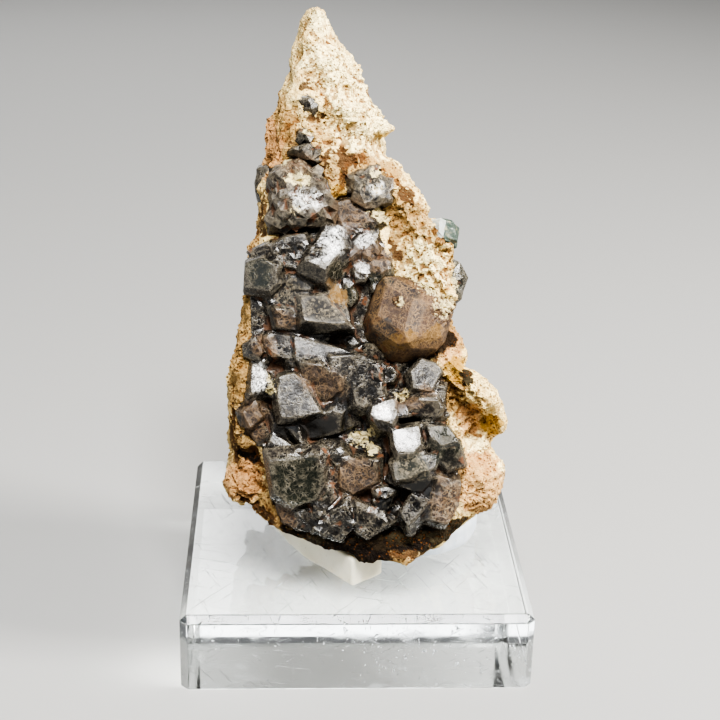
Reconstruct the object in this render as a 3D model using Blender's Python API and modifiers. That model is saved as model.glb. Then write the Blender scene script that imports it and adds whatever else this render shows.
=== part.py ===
# Garnet crystals in a pale matrix, set with putty on a clear acrylic display block.
# Units are metres and +Z is up. The origin is the middle of the block's underside.
# The specimen's garnet face leans back. It has a frame of its own, in millimetres:
# u runs to the right, v up the leaning face, and w out of the face.

import math
import random

import bmesh
import bpy
from mathutils import Euler, Matrix, Vector

MM = 0.001
GAP = 0.3                        # clearance between touching pieces, mm
LEVEL = 0.01                     # ends of an edge this close in height make it a level one, mm
CUTTER_SIZE = 200.0              # edge of the cubes that cut the rock and the crust level, mm
WELD = 1e-6                      # points nearer than this are one, in metres
SOLVER = "MANIFOLD"              # many bodies overlap here, which the exact solver leaves open

# Display block, mm
BLOCK_SIDE = 50.0
BLOCK_HEIGHT = 11.7
BLOCK_CHAMFER = 1.0

# Specimen, mm and degrees
FACE_FOOT = (0.0, -17.0, 16.0)   # where u = v = w = 0
FACE_LEAN = 23.0
UNDERSIDE_Z = 15.7
ROCK_VOXEL = 0.8
ROCK_KEEP = 0.12                 # share of the faces that the last thinning leaves
ROCK_ROUGHNESS = (("broad lumps", 9.0, 2.4), ("small lumps", 3.0, 1.5))   # name, size, height

# Putty, mm
PUTTY_BOTTOM = BLOCK_HEIGHT + GAP
PUTTY_TOP = 16.6
STRIP_WIDTH = 5.9
STRIP_SPINE = ((1.7, -15.3), (-5.6, -6.4), (-9.4, 1.6))
DISC_CENTRE = (8.8, 0.6)
DISC_RADIUS = 10.4
DISC_EDGE = 1.3
DISC_SEGMENTS = 28

# A dodecahedral garnet's faces meet at 120 degrees, and the next ring stands square to the first
DIHEDRAL = 120.0
DIHEDRAL_SPREAD = 13.0           # how far stunted growth turns a face from that, degrees
SKIRT_SHARE = (0.16, 0.46)       # width of the slanting faces, as a share of the front face's reach

# The crust of massive garnet that carries the crystals: its outline in (u, v), its levels in w
CRUST_OUTLINE = (
    (-15.0, 44.8), (-11.6, 46.6), (-6.6, 47.4), (-2.6, 48.6), (2.0, 47.4), (4.8, 44.0),
    (4.4, 39.6), (2.8, 36.6), (3.4, 31.0), (8.6, 29.6), (12.2, 28.0), (12.8, 21.6), (14.2, 17.6),
    (14.4, 12.4), (13.8, 7.6), (11.6, 5.0), (6.6, 4.0), (0.6, 3.4), (-4.2, 3.2), (-9.2, 5.0),
    (-12.2, 8.0), (-13.0, 12.6), (-13.2, 16.4), (-16.6, 17.4), (-16.8, 23.0), (-15.0, 27.0),
    (-15.2, 34.0), (-15.4, 40.6),
)
CRUST_TOP = 0.5
CRUST_BACK = -3.8
CRUST_ROOT = 2.0                 # how much deeper the bodies go before their back is cut level
SEAT_TOP = 6.0                   # the rock is cut clear of the crust up to here

# Small garnets between the named ones: how many, their radii, and the levels of their centres
SMALL_GARNETS = 42
SMALL_RADIUS = (0.9, 2.0)
SMALL_LEVEL = (-0.6, 1.0)
SMALL_INSET = 1.2                # how far inside the crust's outline they keep

# How a rock section runs back from its front, mm, and where its back turns, as shares
FRONT_BULGE = 0.3
FRONT_EDGE_DROP = 0.5
FLANK_TURN = 4.0
FLANK_WIDEST = 8.5
FLANK_TUCK = 1.6
FLANK_END = 0.7
BACK_LEFT = 0.34
BACK_RIGHT = 0.72

# Rock sections up the face: v, left, right, front left, front right, front, depth
ROCK_SECTIONS = (
    (-0.6, 1.0, 8.6, 2.4, 7.2, 2.0, 30.0),
    (0.8, -2.2, 10.4, 0.0, 8.6, 2.0, 30.0),
    (2.6, -6.6, 13.2, -4.6, 11.0, 1.8, 30.5),
    (4.6, -12.4, 15.6, -10.4, 12.6, 1.4, 31.0),
    (7.0, -15.8, 18.2, -13.4, 13.6, 1.0, 31.5),
    (9.2, -18.2, 21.6, -15.0, 14.2, 0.8, 31.5),
    (12.0, -18.8, 22.8, -16.4, 14.4, 0.6, 31.0),
    (16.6, -19.4, 20.6, -17.4, 14.0, 0.4, 30.5),
    (21.0, -19.0, 20.2, -17.4, 13.2, 0.4, 30.0),
    (25.0, -18.8, 16.6, -17.2, 12.6, 0.2, 29.0),
    (29.0, -18.4, 14.6, -16.8, 12.0, 0.0, 28.0),
    (34.0, -17.8, 14.8, -16.2, 12.4, 0.0, 27.0),
    (39.5, -16.8, 15.2, -15.4, 12.0, 0.2, 25.0),
    (44.0, -16.2, 14.2, -14.8, 10.0, 0.4, 23.4),
    (48.5, -15.2, 12.2, -13.8, 7.6, 0.3, 21.6),
    (53.0, -14.4, 9.8, -12.8, 4.6, 0.2, 19.6),
    (58.0, -13.7, 6.4, -12.0, 1.6, 0.1, 17.0),
    (62.0, -13.0, 4.2, -11.0, 0.0, 0.0, 14.8),
    (66.5, -11.9, 3.0, -9.9, -1.8, -0.2, 12.6),
    (71.0, -10.6, 0.8, -8.8, -3.2, -0.5, 10.2),
    (75.5, -9.3, -2.0, -7.8, -4.2, -0.6, 8.4),
    (78.6, -8.3, -3.2, -7.2, -4.6, -0.8, 6.6),
    (80.4, -7.4, -4.2, -6.6, -5.0, -1.2, 5.4),
)

# Lumps and ledges of the rock: place (u, v, w), half sizes, turn in the face in degrees
ROCK_LUMPS = {
    "right_lobe": ((17.2, 11.6, -5.0), (5.6, 5.0, 6.0), 20),
    "right_lobe_rim": ((20.2, 13.6, -5.4), (2.4, 1.8, 3.6), -30),
    "ledge_upper": ((13.4, 28.4, -1.2), (3.6, 1.7, 3.4), -46),
    "ledge_middle": ((16.2, 25.4, -1.6), (3.4, 1.6, 3.6), -44),
    "ledge_lower": ((19.0, 22.7, -2.2), (2.9, 1.6, 3.6), -44),
    "ledge_end": ((20.6, 19.7, -2.8), (1.2, 2.1, 3.0), 10),
    "ledge_root": ((16.0, 20.0, -8.4), (5.4, 6.6, 5.4), 0),
    "right_shoulder": ((13.9, 31.0, -5.0), (2.7, 3.4, 4.6), 8),
    "cream_knob": ((14.8, 19.0, -0.6), (1.7, 1.3, 1.5), -30),
    "lower_left_block": ((-16.2, 11.8, -3.4), (3.1, 3.4, 4.2), 0),
    "broken_rib": ((-3.4, 56.4, 0.4), (1.3, 3.3, 1.5), 8),
    "rib_beside": ((-0.9, 57.6, 0.1), (0.9, 2.6, 1.3), -12),
    "right_knob": ((3.4, 62.6, -3.2), (1.9, 1.7, 2.2), 0),
    "cream_bank": ((9.6, 44.4, -0.4), (4.8, 5.0, 2.6), 25),
    "cream_hood": ((11.2, 40.0, -0.2), (3.6, 2.6, 3.6), -38),
    "cream_bank_top": ((7.4, 50.2, -0.6), (3.6, 2.6, 1.9), -38),
    "upper_bank": ((-1.6, 64.4, -0.8), (4.0, 2.6, 1.9), -32),
    "summit_bank": ((-4.2, 70.6, -0.9), (3.3, 2.2, 1.8), -36),
    "summit_knob": ((-6.4, 75.8, -1.6), (1.9, 2.3, 1.8), 12),
    "flank_ledge": ((-12.2, 61.0, -8.0), (1.3, 4.2, 3.2), 6),
    "back_ledge": ((-3.0, 30.0, -26.0), (9.0, 5.0, 4.2), 18),
    "back_knob": ((6.0, 44.0, -21.4), (5.4, 4.2, 3.4), -20),
}

# Pits, cracks and hollows of the rock, in the same terms
ROCK_PITS = {
    "under_round_garnet": ((5.6, 29.6, 1.0), (3.4, 1.3, 2.6), 6),
    "beside_ledge": ((14.4, 22.8, 0.4), (1.7, 1.3, 3.6), -36),
    "red_hollow": ((17.4, 18.6, 0.0), (1.9, 2.4, 4.2), -24),
    "black_recess": ((9.4, 3.4, 3.4), (3.8, 1.5, 3.4), 8),
    "lower_left_crack": ((-16.4, 15.4, 0.4), (2.6, 0.7, 3.2), -32),
    "summit_slit": ((1.2, 68.6, -0.6), (0.7, 2.0, 1.7), 24),
    "upper_right_pit": ((8.4, 53.0, -0.4), (1.5, 1.2, 1.9), -40),
    "upper_right_hollow": ((9.6, 51.4, -1.2), (1.3, 1.1, 1.6), -30),
    "beside_rib": ((-1.8, 53.4, 1.2), (1.6, 0.8, 1.7), 10),
    "summit_notch": ((-8.2, 71.0, -0.3), (0.7, 1.8, 1.4), -8),
    "back_hollow": ((-8.0, 44.0, -24.6), (4.6, 6.4, 3.4), 24),
    "back_step": ((12.4, 20.0, -31.0), (7.4, 4.4, 3.2), -16),
}

# Garnet crystals by the node that they make. Each has the outline of its front face in
# (u, v), how far that face stands out (lift), how it leans to (u, v), and its root depth.
CRYSTALS = {
    "garnet_cluster": {
        "b_face": (2.6, (-0.1, 0.1), 6, ((-12.6, 45.0), (-10.3, 46.4), (-7.7, 46.7), (-7.0, 44.6),
                                         (-9.0, 41.8), (-11.3, 42.3))),
        "b_left": (1.6, (-0.45, 0.2), 5, ((-15.6, 44.2), (-12.8, 45.4), (-11.6, 43.6), (-13.7, 42.8))),
        "bright_quad": (4.6, (0.05, 0.38), 8, ((-4.4, 48.2), (-2.6, 47.5), (-2.3, 44.6), (-4.7, 41.6),
                                               (-7.6, 42.8))),
        "bright_small": (2.6, (0.1, 0.38), 5, ((-0.8, 46.4), (1.5, 46.7), (0.7, 45.0), (-2.3, 42.7),
                                               (-3.0, 43.4))),
        "left_hex": (3.0, (-0.35, 0.05), 6, ((-16.0, 42.6), (-14.0, 43.3), (-11.8, 42.1),
                                             (-11.6, 39.7), (-12.6, 38.6), (-16.2, 39.2))),
        "group_a": (2.2, (-0.1, 0.25), 5, ((-11.8, 41.5), (-9.9, 41.8), (-9.6, 39.1), (-11.7, 38.9))),
        "group_b": (2.8, (0.15, 0.1), 6, ((-9.7, 40.7), (-7.2, 41.2), (-6.2, 39.8), (-7.0, 38.6),
                                          (-9.3, 39.0))),
        "group_c": (2.4, (-0.15, 0.0), 6, ((-11.4, 38.6), (-9.0, 38.4), (-9.7, 36.1), (-12.5, 36.2),
                                           (-13.1, 37.5))),
        "group_d": (2.2, (-0.5, 0.0), 5, ((-9.1, 38.2), (-7.9, 37.9), (-8.1, 35.1), (-9.6, 36.1))),
        "speckled": (4.4, (-0.05, 0.3), 7, ((-8.2, 37.8), (-5.1, 37.9), (-3.5, 36.1), (-1.8, 34.0),
                                            (-3.5, 33.9), (-7.7, 34.4))),
        "small_brown": (3.0, (0.05, -0.1), 6, ((-11.8, 36.1), (-9.4, 35.9), (-8.1, 34.4),
                                               (-8.7, 33.1), (-11.4, 33.5))),
        "ochre": (2.2, (0.4, 0.15), 6, ((-4.8, 39.8), (-2.6, 40.7), (-1.9, 37.6), (-0.3, 34.3),
                                        (-1.6, 34.2), (-3.9, 37.4))),
        "grey_green": (2.0, (0.1, -0.1), 5, ((-2.2, 39.7), (-0.5, 38.6), (-0.3, 37.6), (-1.1, 36.6),
                                             (-2.2, 37.9))),
        "greenish": (2.0, (0.1, 0.2), 5, ((-4.2, 42.5), (-1.5, 42.6), (-1.8, 40.8), (-4.3, 40.5))),
        "crescent": (2.2, (0.35, 0.3), 5, ((-1.0, 42.8), (0.3, 42.8), (1.2, 41.4), (1.0, 40.3),
                                           (-0.1, 40.2))),
        "dark_upper": (1.6, (0.0, -0.15), 5, ((1.3, 42.6), (4.3, 42.7), (4.6, 41.2), (1.9, 40.2),
                                              (1.1, 41.4))),
        "long_left": (2.4, (-0.15, 0.15), 6, ((-12.8, 32.8), (-9.1, 32.3), (-8.6, 29.7),
                                              (-9.3, 28.9), (-12.1, 29.6), (-13.4, 31.6))),
        "long_middle": (3.2, (0.05, 0.2), 7, ((-9.1, 32.3), (-3.9, 30.9), (-1.4, 30.1),
                                              (-3.6, 27.6), (-8.8, 28.8))),
        "long_right": (3.8, (0.15, 0.05), 7, ((-3.9, 29.3), (-0.5, 29.6), (-0.7, 26.3),
                                              (-1.7, 25.8), (-3.9, 27.4))),
        "brown_under": (3.4, (-0.1, -0.35), 7, ((-8.4, 28.6), (-5.3, 28.1), (-1.5, 25.3),
                                                (-5.1, 22.8), (-6.8, 23.5))),
        "black_wedge": (2.2, (0.1, -0.6), 5, ((-3.9, 22.5), (-1.5, 24.7), (-0.3, 22.1), (-1.8, 21.5))),
        "tall": (3.6, (0.1, 0.1), 8, ((-0.2, 29.8), (2.7, 28.7), (3.3, 23.9), (0.7, 22.2),
                                      (-0.5, 22.6), (-0.9, 26.1))),
        "white_flag": (3.0, (-0.1, 0.38), 6, ((-14.9, 28.3), (-12.9, 27.2), (-12.5, 25.1),
                                              (-15.3, 24.0))),
        "left_low": (1.4, (-0.4, 0.1), 4, ((-16.5, 31.0), (-14.8, 31.7), (-13.6, 30.0),
                                           (-14.5, 28.9), (-16.3, 29.4))),
        "small_round": (1.8, (0.0, 0.1), 4, ((3.5, 27.7), (4.8, 28.0), (5.5, 27.0), (5.0, 25.8),
                                             (3.8, 25.8), (3.2, 26.7))),
        "right_upper": (2.8, (0.1, 0.2), 6, ((7.4, 27.3), (9.0, 29.1), (11.0, 28.5), (11.9, 27.3),
                                             (10.3, 24.6), (7.8, 25.0))),
        "right_blade": (2.6, (0.5, 0.05), 6, ((10.7, 25.4), (12.6, 25.3), (12.0, 21.2), (10.7, 20.6))),
        "right_striped": (3.4, (0.0, -0.1), 6, ((7.0, 22.5), (8.8, 23.5), (11.1, 23.5),
                                                (11.8, 22.3), (10.8, 20.9), (7.3, 21.3))),
        "great_face": (4.2, (-0.02, 0.18), 8, ((-11.1, 26.5), (-9.1, 27.1), (-8.1, 26.2),
                                               (-5.5, 21.6), (-8.1, 20.9), (-10.8, 20.8),
                                               (-11.5, 24.2))),
        "great_under": (2.6, (0.05, -0.55), 6, ((-11.9, 19.9), (-8.2, 20.9), (-3.9, 21.6),
                                                (-2.3, 21.2), (-2.6, 18.6), (-8.2, 17.3),
                                                (-12.2, 18.4))),
        "under_flag": (3.2, (-0.3, 0.1), 4, ((-9.9, 19.3), (-8.4, 19.7), (-8.2, 17.4))),
        "low_flag": (2.8, (-0.1, 0.3), 4, ((-12.2, 18.7), (-9.6, 16.9), (-12.7, 16.8))),
        "big_cube": (4.6, (-0.02, -0.12), 9, ((-12.6, 14.9), (-5.7, 15.4), (-5.0, 13.4),
                                              (-4.9, 11.3), (-6.1, 9.3), (-9.3, 8.3),
                                              (-11.8, 10.1))),
        "cube_right": (2.6, (0.3, 0.0), 5, ((-4.7, 13.8), (-3.1, 13.8), (-2.8, 10.5), (-4.5, 11.1))),
        "cube_low": (3.2, (0.2, 0.05), 6, ((-6.5, 9.5), (-3.8, 11.3), (-3.1, 9.4), (-5.4, 6.8))),
        "bright_square": (4.4, (0.0, 0.38), 7, ((1.9, 22.5), (5.0, 23.5), (5.2, 21.1), (4.6, 20.1),
                                                (2.7, 20.5), (1.7, 21.4))),
        "bright_chip": (3.4, (0.05, 0.38), 5, ((5.4, 22.7), (6.9, 22.9), (7.0, 21.3), (5.6, 21.1))),
        "bright_low_square": (4.8, (0.0, 0.38), 8, ((4.7, 19.1), (8.5, 19.7), (8.7, 17.0),
                                                    (7.6, 15.9), (5.5, 15.9), (4.9, 17.3))),
        "grey_right": (4.0, (0.2, 0.4), 7, ((9.6, 19.9), (12.7, 19.6), (14.0, 17.6), (11.6, 17.0),
                                            (10.2, 18.2))),
        "dark_right": (3.6, (0.35, -0.1), 7, ((11.6, 16.9), (14.1, 17.2), (15.0, 14.0),
                                              (12.7, 13.4), (11.2, 15.0))),
        "glossy": (5.0, (-0.1, 0.2), 8, ((5.2, 15.1), (7.9, 15.8), (9.3, 13.6), (7.0, 12.4),
                                         (5.2, 12.1), (4.7, 13.9))),
        "glossy_side": (4.6, (0.15, 0.3), 7, ((8.1, 15.6), (11.1, 15.6), (10.7, 13.9), (9.9, 13.5),
                                              (8.7, 14.0))),
        "black_triangle": (4.0, (-0.05, -0.4), 7, ((5.1, 11.5), (9.9, 13.4), (10.6, 9.3))),
        "small_black": (2.4, (0.0, -0.3), 5, ((2.4, 8.7), (4.5, 9.4), (4.6, 8.3), (3.4, 7.2))),
        "small_upper": (3.0, (0.0, 0.25), 5, ((2.4, 10.6), (3.7, 11.1), (5.4, 10.6), (4.2, 9.5),
                                              (2.8, 9.7))),
        "bright_foot": (4.2, (-0.25, 0.25), 7, ((5.9, 7.3), (7.6, 10.1), (9.9, 9.1), (8.2, 6.9),
                                                (7.0, 5.6))),
        "grey_foot": (3.6, (0.35, 0.0), 8, ((10.5, 12.8), (14.6, 11.7), (14.2, 8.3), (12.7, 5.8),
                                            (10.1, 6.5))),
        "low_left": (3.2, (-0.05, -0.1), 6, ((-6.3, 4.8), (-4.8, 7.1), (-1.9, 8.6), (-0.4, 5.8),
                                             (-2.5, 3.5))),
        "low_middle": (3.4, (0.05, -0.15), 6, ((-0.3, 8.4), (2.4, 7.1), (4.5, 5.6), (1.3, 3.7),
                                               (-0.2, 4.8))),
        "low_far_left": (2.4, (-0.2, -0.2), 5, ((-11.7, 9.1), (-8.2, 8.0), (-5.6, 6.6),
                                                (-7.3, 4.6), (-10.6, 6.0))),
        "brown_head": (1.0, (0.0, 0.0), 4, ((-3.2, 51.3), (-0.4, 51.7), (1.9, 50.9), (3.2, 48.6),
                                            (0.9, 47.0), (-2.3, 47.4))),
        "middle_brown": (2.8, (0.0, -0.1), 6, ((-2.6, 14.8), (2.8, 14.8), (2.7, 11.7),
                                               (-0.8, 10.0), (-2.6, 11.1))),
    },
    "upper_garnet": {
        "crown": (2.6, (0.05, 0.25), 6, ((-11.0, 55.5), (-8.4, 56.9), (-5.8, 55.6), (-4.0, 51.5),
                                         (-5.4, 49.9), (-11.0, 49.4))),
        "foot": (2.2, (0.0, -0.45), 5, ((-11.3, 50.6), (-8.3, 50.8), (-5.2, 50.0), (-8.2, 47.2),
                                        (-11.0, 46.9))),
    },
    "middle_garnet": {
        "glint": (1.6, (0.1, 0.2), 5, ((-0.7, 55.1), (2.2, 55.9), (4.3, 54.2), (4.3, 52.1),
                                       (2.2, 51.5), (-0.4, 51.9))),
    },
    "top_garnet": {
        "front": (1.5, (-0.1, 0.15), 5, ((-9.6, 58.7), (-7.9, 59.3), (-6.1, 58.4), (-6.0, 56.9),
                                         (-8.1, 56.4), (-9.6, 56.9))),
    },
    "small_top_garnet": {
        "front": (0.9, (-0.2, 0.1), 4, ((-8.9, 61.4), (-7.5, 61.6), (-7.1, 60.3), (-8.5, 59.9))),
    },
    "summit_garnet": {
        "front": (0.8, (-0.1, 0.1), 4, ((-8.0, 66.2), (-6.5, 66.2), (-6.2, 64.9), (-7.5, 64.5))),
    },
    "flank_garnet": {
        "front": (-6.0, (-0.9, 0.0), 5, ((-14.5, 56.8), (-13.3, 57.0), (-13.0, 53.7),
                                         (-13.8, 52.0), (-14.4, 52.7))),
    },
    "edge_garnet": {
        "front": (-2.6, (0.7, 0.0), 5, ((12.8, 43.4), (14.4, 43.1), (15.7, 41.3), (15.4, 38.6),
                                        (14.3, 37.9), (13.3, 40.7))),
    },
    "small_green_crystal": {
        "white_side": (1.0, (-0.6, 0.3), 4, ((11.5, 48.7), (12.5, 48.9), (12.1, 46.5), (11.5, 47.2))),
        "green_side": (1.0, (0.45, 0.0), 4, ((12.5, 48.9), (13.7, 48.7), (14.2, 46.1), (12.1, 46.5))),
    },
}

# The big rounded garnet has twelve faces with its corners cut by twenty-four more
ROUND_GARNET = {"place": (7.0, 34.6, -0.9), "radius": 5.7, "corner_radius": 6.05, "turn": (22, -12, 24)}

GARNET_COLOURS = {
    "garnet_cluster": (0.055, 0.045, 0.040, 1.0),
    "round_garnet": (0.110, 0.065, 0.040, 1.0),
    "small_green_crystal": (0.300, 0.330, 0.290, 1.0),
}
GARNET_COLOUR = (0.070, 0.055, 0.045, 1.0)
GARNET_ROUGHNESS = 0.25


def face_matrix():
    """World placement of the leaning face frame, still in millimetres."""
    lean = math.radians(FACE_LEAN)
    right = Vector((1.0, 0.0, 0.0))
    upward = Vector((0.0, math.sin(lean), math.cos(lean)))
    outward = Vector((0.0, -math.cos(lean), math.sin(lean)))
    turn = Matrix((right, upward, outward)).transposed().to_4x4()
    return Matrix.Translation(FACE_FOOT) @ turn


FACE = face_matrix()
TO_METRES = Matrix.Scale(MM, 4)


def clear_scene():
    for thing in list(bpy.data.objects):
        bpy.data.objects.remove(thing, do_unlink=True)


def make_collection(name):
    collection = bpy.data.collections.new(name)
    bpy.context.scene.collection.children.link(collection)
    return collection


def make_material(name, colour, roughness, transmission=0.0):
    material = bpy.data.materials.new(name)
    material.use_nodes = True
    shader = material.node_tree.nodes["Principled BSDF"]
    shader.inputs["Base Color"].default_value = colour
    shader.inputs["Roughness"].default_value = roughness
    shader.inputs["Metallic"].default_value = 0.0
    shader.inputs["Transmission Weight"].default_value = transmission
    return material


def add_object(name, bm, collection, placement=None):
    """Turn a bmesh in millimetres into an object in metres."""
    bmesh.ops.transform(bm, matrix=TO_METRES @ (placement or Matrix.Identity(4)), verts=bm.verts)
    bmesh.ops.recalc_face_normals(bm, faces=bm.faces)
    mesh = bpy.data.meshes.new(name)
    bm.to_mesh(mesh)
    bm.free()
    thing = bpy.data.objects.new(name, mesh)
    collection.objects.link(thing)
    return thing


def hide_as_cutter(thing):
    thing.hide_render = True
    thing.display_type = "WIRE"


def add_modifier(thing, kind, **settings):
    modifier = thing.modifiers.new(kind.title(), kind)
    for key, value in settings.items():
        setattr(modifier, key, value)
    return modifier


def bake_modifiers(thing):
    """Replace an object's mesh with what its modifiers make of it."""
    depsgraph = bpy.context.evaluated_depsgraph_get()
    baked = bpy.data.meshes.new_from_object(thing.evaluated_get(depsgraph))
    thing.modifiers.clear()
    thing.data = baked


def face_patches(bm):
    """Groups of faces that hang together across edges shared by just two faces."""
    unseen = set(bm.faces)
    patches = []
    while unseen:
        stack = [unseen.pop()]
        patch = set(stack)
        while stack:
            for edge in stack.pop().edges:
                joined = edge.link_faces if len(edge.link_faces) == 2 else ()
                for face in joined:
                    if face in unseen:
                        unseen.discard(face)
                        patch.add(face)
                        stack.append(face)
        patches.append(patch)
    return sorted(patches, key=len)


def is_closed(patch):
    edges = {edge for face in patch for edge in face.edges}
    return all(sum(face in patch for face in edge.link_faces) == 2 for edge in edges)


def keep_main_body(thing):
    """Weld specks and drop the closed crumbs that a cut has freed from the body."""
    bm = bmesh.new()
    bm.from_mesh(thing.data)
    bmesh.ops.remove_doubles(bm, verts=bm.verts, dist=WELD)
    bmesh.ops.dissolve_degenerate(bm, edges=bm.edges, dist=WELD)
    for patch in face_patches(bm)[:-1]:
        if is_closed(patch):
            bmesh.ops.delete(bm, geom=list(patch), context="FACES")
    bm.to_mesh(thing.data)
    bm.free()


def cut_by_planes(planes, centre, reach):
    """A convex body: a cube around centre, cut down by planes given as (point, normal)."""
    bm = bmesh.new()
    bmesh.ops.create_cube(bm, size=2.0 * reach, matrix=Matrix.Translation(centre))
    for point, normal in planes:
        everything = bm.verts[:] + bm.edges[:] + bm.faces[:]
        bmesh.ops.bisect_plane(bm, geom=everything, plane_co=point, plane_no=normal, clear_outer=True)
        open_edges = [edge for edge in bm.edges if edge.is_boundary]
        bmesh.ops.holes_fill(bm, edges=open_edges, sides=0)
    return bm


def crystal_body(label, lift, lean, root, outline, seat=False):
    """A crystal's outer part in the face frame: its front face, the faces round it, its root.
    Its seat is the same body grown by the gap, without the slanting faces."""
    growth = random.Random(label)
    grow = GAP if seat else 0.0
    normal = Vector((lean[0], lean[1], 1.0)).normalized()
    middle = Vector((sum(u for u, v in outline), sum(v for u, v in outline))) / len(outline)
    centre = Vector((middle.x, middle.y, lift))
    corners = []
    for u, v in outline:
        drop = lean[0] * (u - middle.x) + lean[1] * (v - middle.y)
        corners.append(Vector((u, v, lift - drop)))
    reaches = [(corner - centre).length for corner in corners]
    reach = sum(reaches) / len(reaches)
    planes = [(centre + normal * grow, normal), (centre - normal * (root + grow), -normal)]
    outwards, skirts = [], []
    for start, end in zip(corners, corners[1:] + corners[:1]):
        outward = (start - end).cross(normal).normalized()
        if outward.dot((start + end) / 2 - centre) < 0.0:
            outward.negate()
        turn = math.radians(180.0 - DIHEDRAL + growth.uniform(-DIHEDRAL_SPREAD, DIHEDRAL_SPREAD))
        skirt = reach * growth.uniform(*SKIRT_SHARE) + grow
        planes.append((start + outward * skirt, outward))
        if not seat:
            planes.append((start, normal * math.cos(turn) + outward * math.sin(turn)))
        outwards.append(outward)
        skirts.append(skirt)
    for i, corner in enumerate(corners):
        diagonal = (outwards[i - 1] + outwards[i]).normalized()
        planes.append((corner + diagonal * max(skirts[i - 1], skirts[i]), diagonal))
    return cut_by_planes(planes, centre, 3.0 * root + max(reaches))


def rhomb_planes(centre, turn, radius):
    """The twelve faces of a dodecahedron."""
    planes = []
    for axis in range(3):
        for first in (-1, 1):
            for second in (-1, 1):
                rhomb = [first, second]
                rhomb.insert(axis, 0)
                normal = turn @ Vector(rhomb).normalized()
                planes.append((centre + normal * radius, normal))
    return planes


def kite_planes(centre, turn, radius):
    """The twenty-four faces of a trapezohedron."""
    planes = []
    for axis in range(3):
        for first in (-1, 1):
            for second in (-1, 1):
                for third in (-2, 2):
                    kite = [first, second]
                    kite.insert(axis, third)
                    normal = turn @ Vector(kite).normalized()
                    planes.append((centre + normal * radius, normal))
    return planes


def round_garnet_body(grow=0.0):
    """A dodecahedron whose corners are cut by trapezohedron faces."""
    centre = Vector(ROUND_GARNET["place"])
    turn = Euler([math.radians(angle) for angle in ROUND_GARNET["turn"]]).to_matrix()
    planes = rhomb_planes(centre, turn, ROUND_GARNET["radius"] + grow)
    planes += kite_planes(centre, turn, ROUND_GARNET["corner_radius"] + grow)
    return cut_by_planes(planes, centre, 3.0 * ROUND_GARNET["radius"])


def inside_outline(u, v, outline):
    """Whether a point lies inside a closed outline, by counting the edges it looks past."""
    inside = False
    for (u0, v0), (u1, v1) in zip(outline, outline[1:] + outline[:1]):
        if (v0 > v) != (v1 > v) and u < u0 + (v - v0) / (v1 - v0) * (u1 - u0):
            inside = not inside
    return inside


def small_garnet_bodies(seat=False):
    """Small dodecahedra strewn over the crust wherever no named crystal stands."""
    growth = random.Random(7)
    grow = GAP if seat else 0.0
    named = [outline for lift, lean, root, outline in CRYSTALS["garnet_cluster"].values()]
    us = [u for u, v in CRUST_OUTLINE]
    vs = [v for u, v in CRUST_OUTLINE]
    bodies = []
    while len(bodies) < SMALL_GARNETS:
        u = growth.uniform(min(us), max(us))
        v = growth.uniform(min(vs), max(vs))
        centre = Vector((u, v, growth.uniform(*SMALL_LEVEL)))
        radius = growth.uniform(*SMALL_RADIUS)
        turn = Euler([growth.uniform(0.0, math.pi) for _ in range(3)]).to_matrix()
        rim = [(u + SMALL_INSET, v), (u - SMALL_INSET, v), (u, v + SMALL_INSET), (u, v - SMALL_INSET)]
        on_crust = all(inside_outline(*point, CRUST_OUTLINE) for point in rim)
        if on_crust and not any(inside_outline(u, v, outline) for outline in named):
            bodies.append(cut_by_planes(rhomb_planes(centre, turn, radius + grow), centre, 4.0 * radius))
    return bodies


def crust_body(seat=False):
    """The crust: its outline raised from behind the level where its back is cut."""
    bm = bmesh.new()
    bottom = CRUST_BACK - CRUST_ROOT
    base = bm.faces.new([bm.verts.new((u, v, bottom)) for u, v in CRUST_OUTLINE])
    if seat:
        bmesh.ops.recalc_face_normals(bm, faces=[base])
        bmesh.ops.inset_region(bm, faces=[base], thickness=GAP, use_outset=True, use_boundary=True)
        bmesh.ops.dissolve_faces(bm, faces=bm.faces[:])
        base = bm.faces[0]
    raised = bmesh.ops.extrude_face_region(bm, geom=[base])
    top = [item for item in raised["geom"] if isinstance(item, bmesh.types.BMVert)]
    height = (SEAT_TOP if seat else CRUST_TOP) - bottom
    bmesh.ops.translate(bm, verts=top, vec=(0.0, 0.0, height))
    return bm


def cut_clear(thing, cutters):
    """Cut a body clear of everything in a collection."""
    add_modifier(thing, "BOOLEAN", operation="DIFFERENCE", solver=SOLVER,
                 operand_type="COLLECTION", collection=cutters)
    bake_modifiers(thing)
    keep_main_body(thing)


def join_bodies(thing, others, name):
    """Union of thing with the other bodies, which it takes the place of."""
    if others:
        group = make_collection(name)
        for other in others:
            for owner in list(other.users_collection):
                owner.objects.unlink(other)
            group.objects.link(other)
        add_modifier(thing, "BOOLEAN", operation="UNION", solver=SOLVER,
                     operand_type="COLLECTION", collection=group)
        bake_modifiers(thing)
        for other in others:
            bpy.data.objects.remove(other, do_unlink=True)
        bpy.data.collections.remove(group)
    keep_main_body(thing)


def cut_back(thing, level):
    """Cut a body of the garnet crust level at its back."""
    bm = bmesh.new()
    middle = (0.0, 0.0, level - CUTTER_SIZE / 2)
    bmesh.ops.create_cube(bm, size=CUTTER_SIZE, matrix=Matrix.Translation(middle))
    collection = make_collection("back cut")
    behind = add_object("behind", bm, collection, FACE)
    cut_clear(thing, collection)
    bpy.data.objects.remove(behind, do_unlink=True)
    bpy.data.collections.remove(collection)


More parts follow.
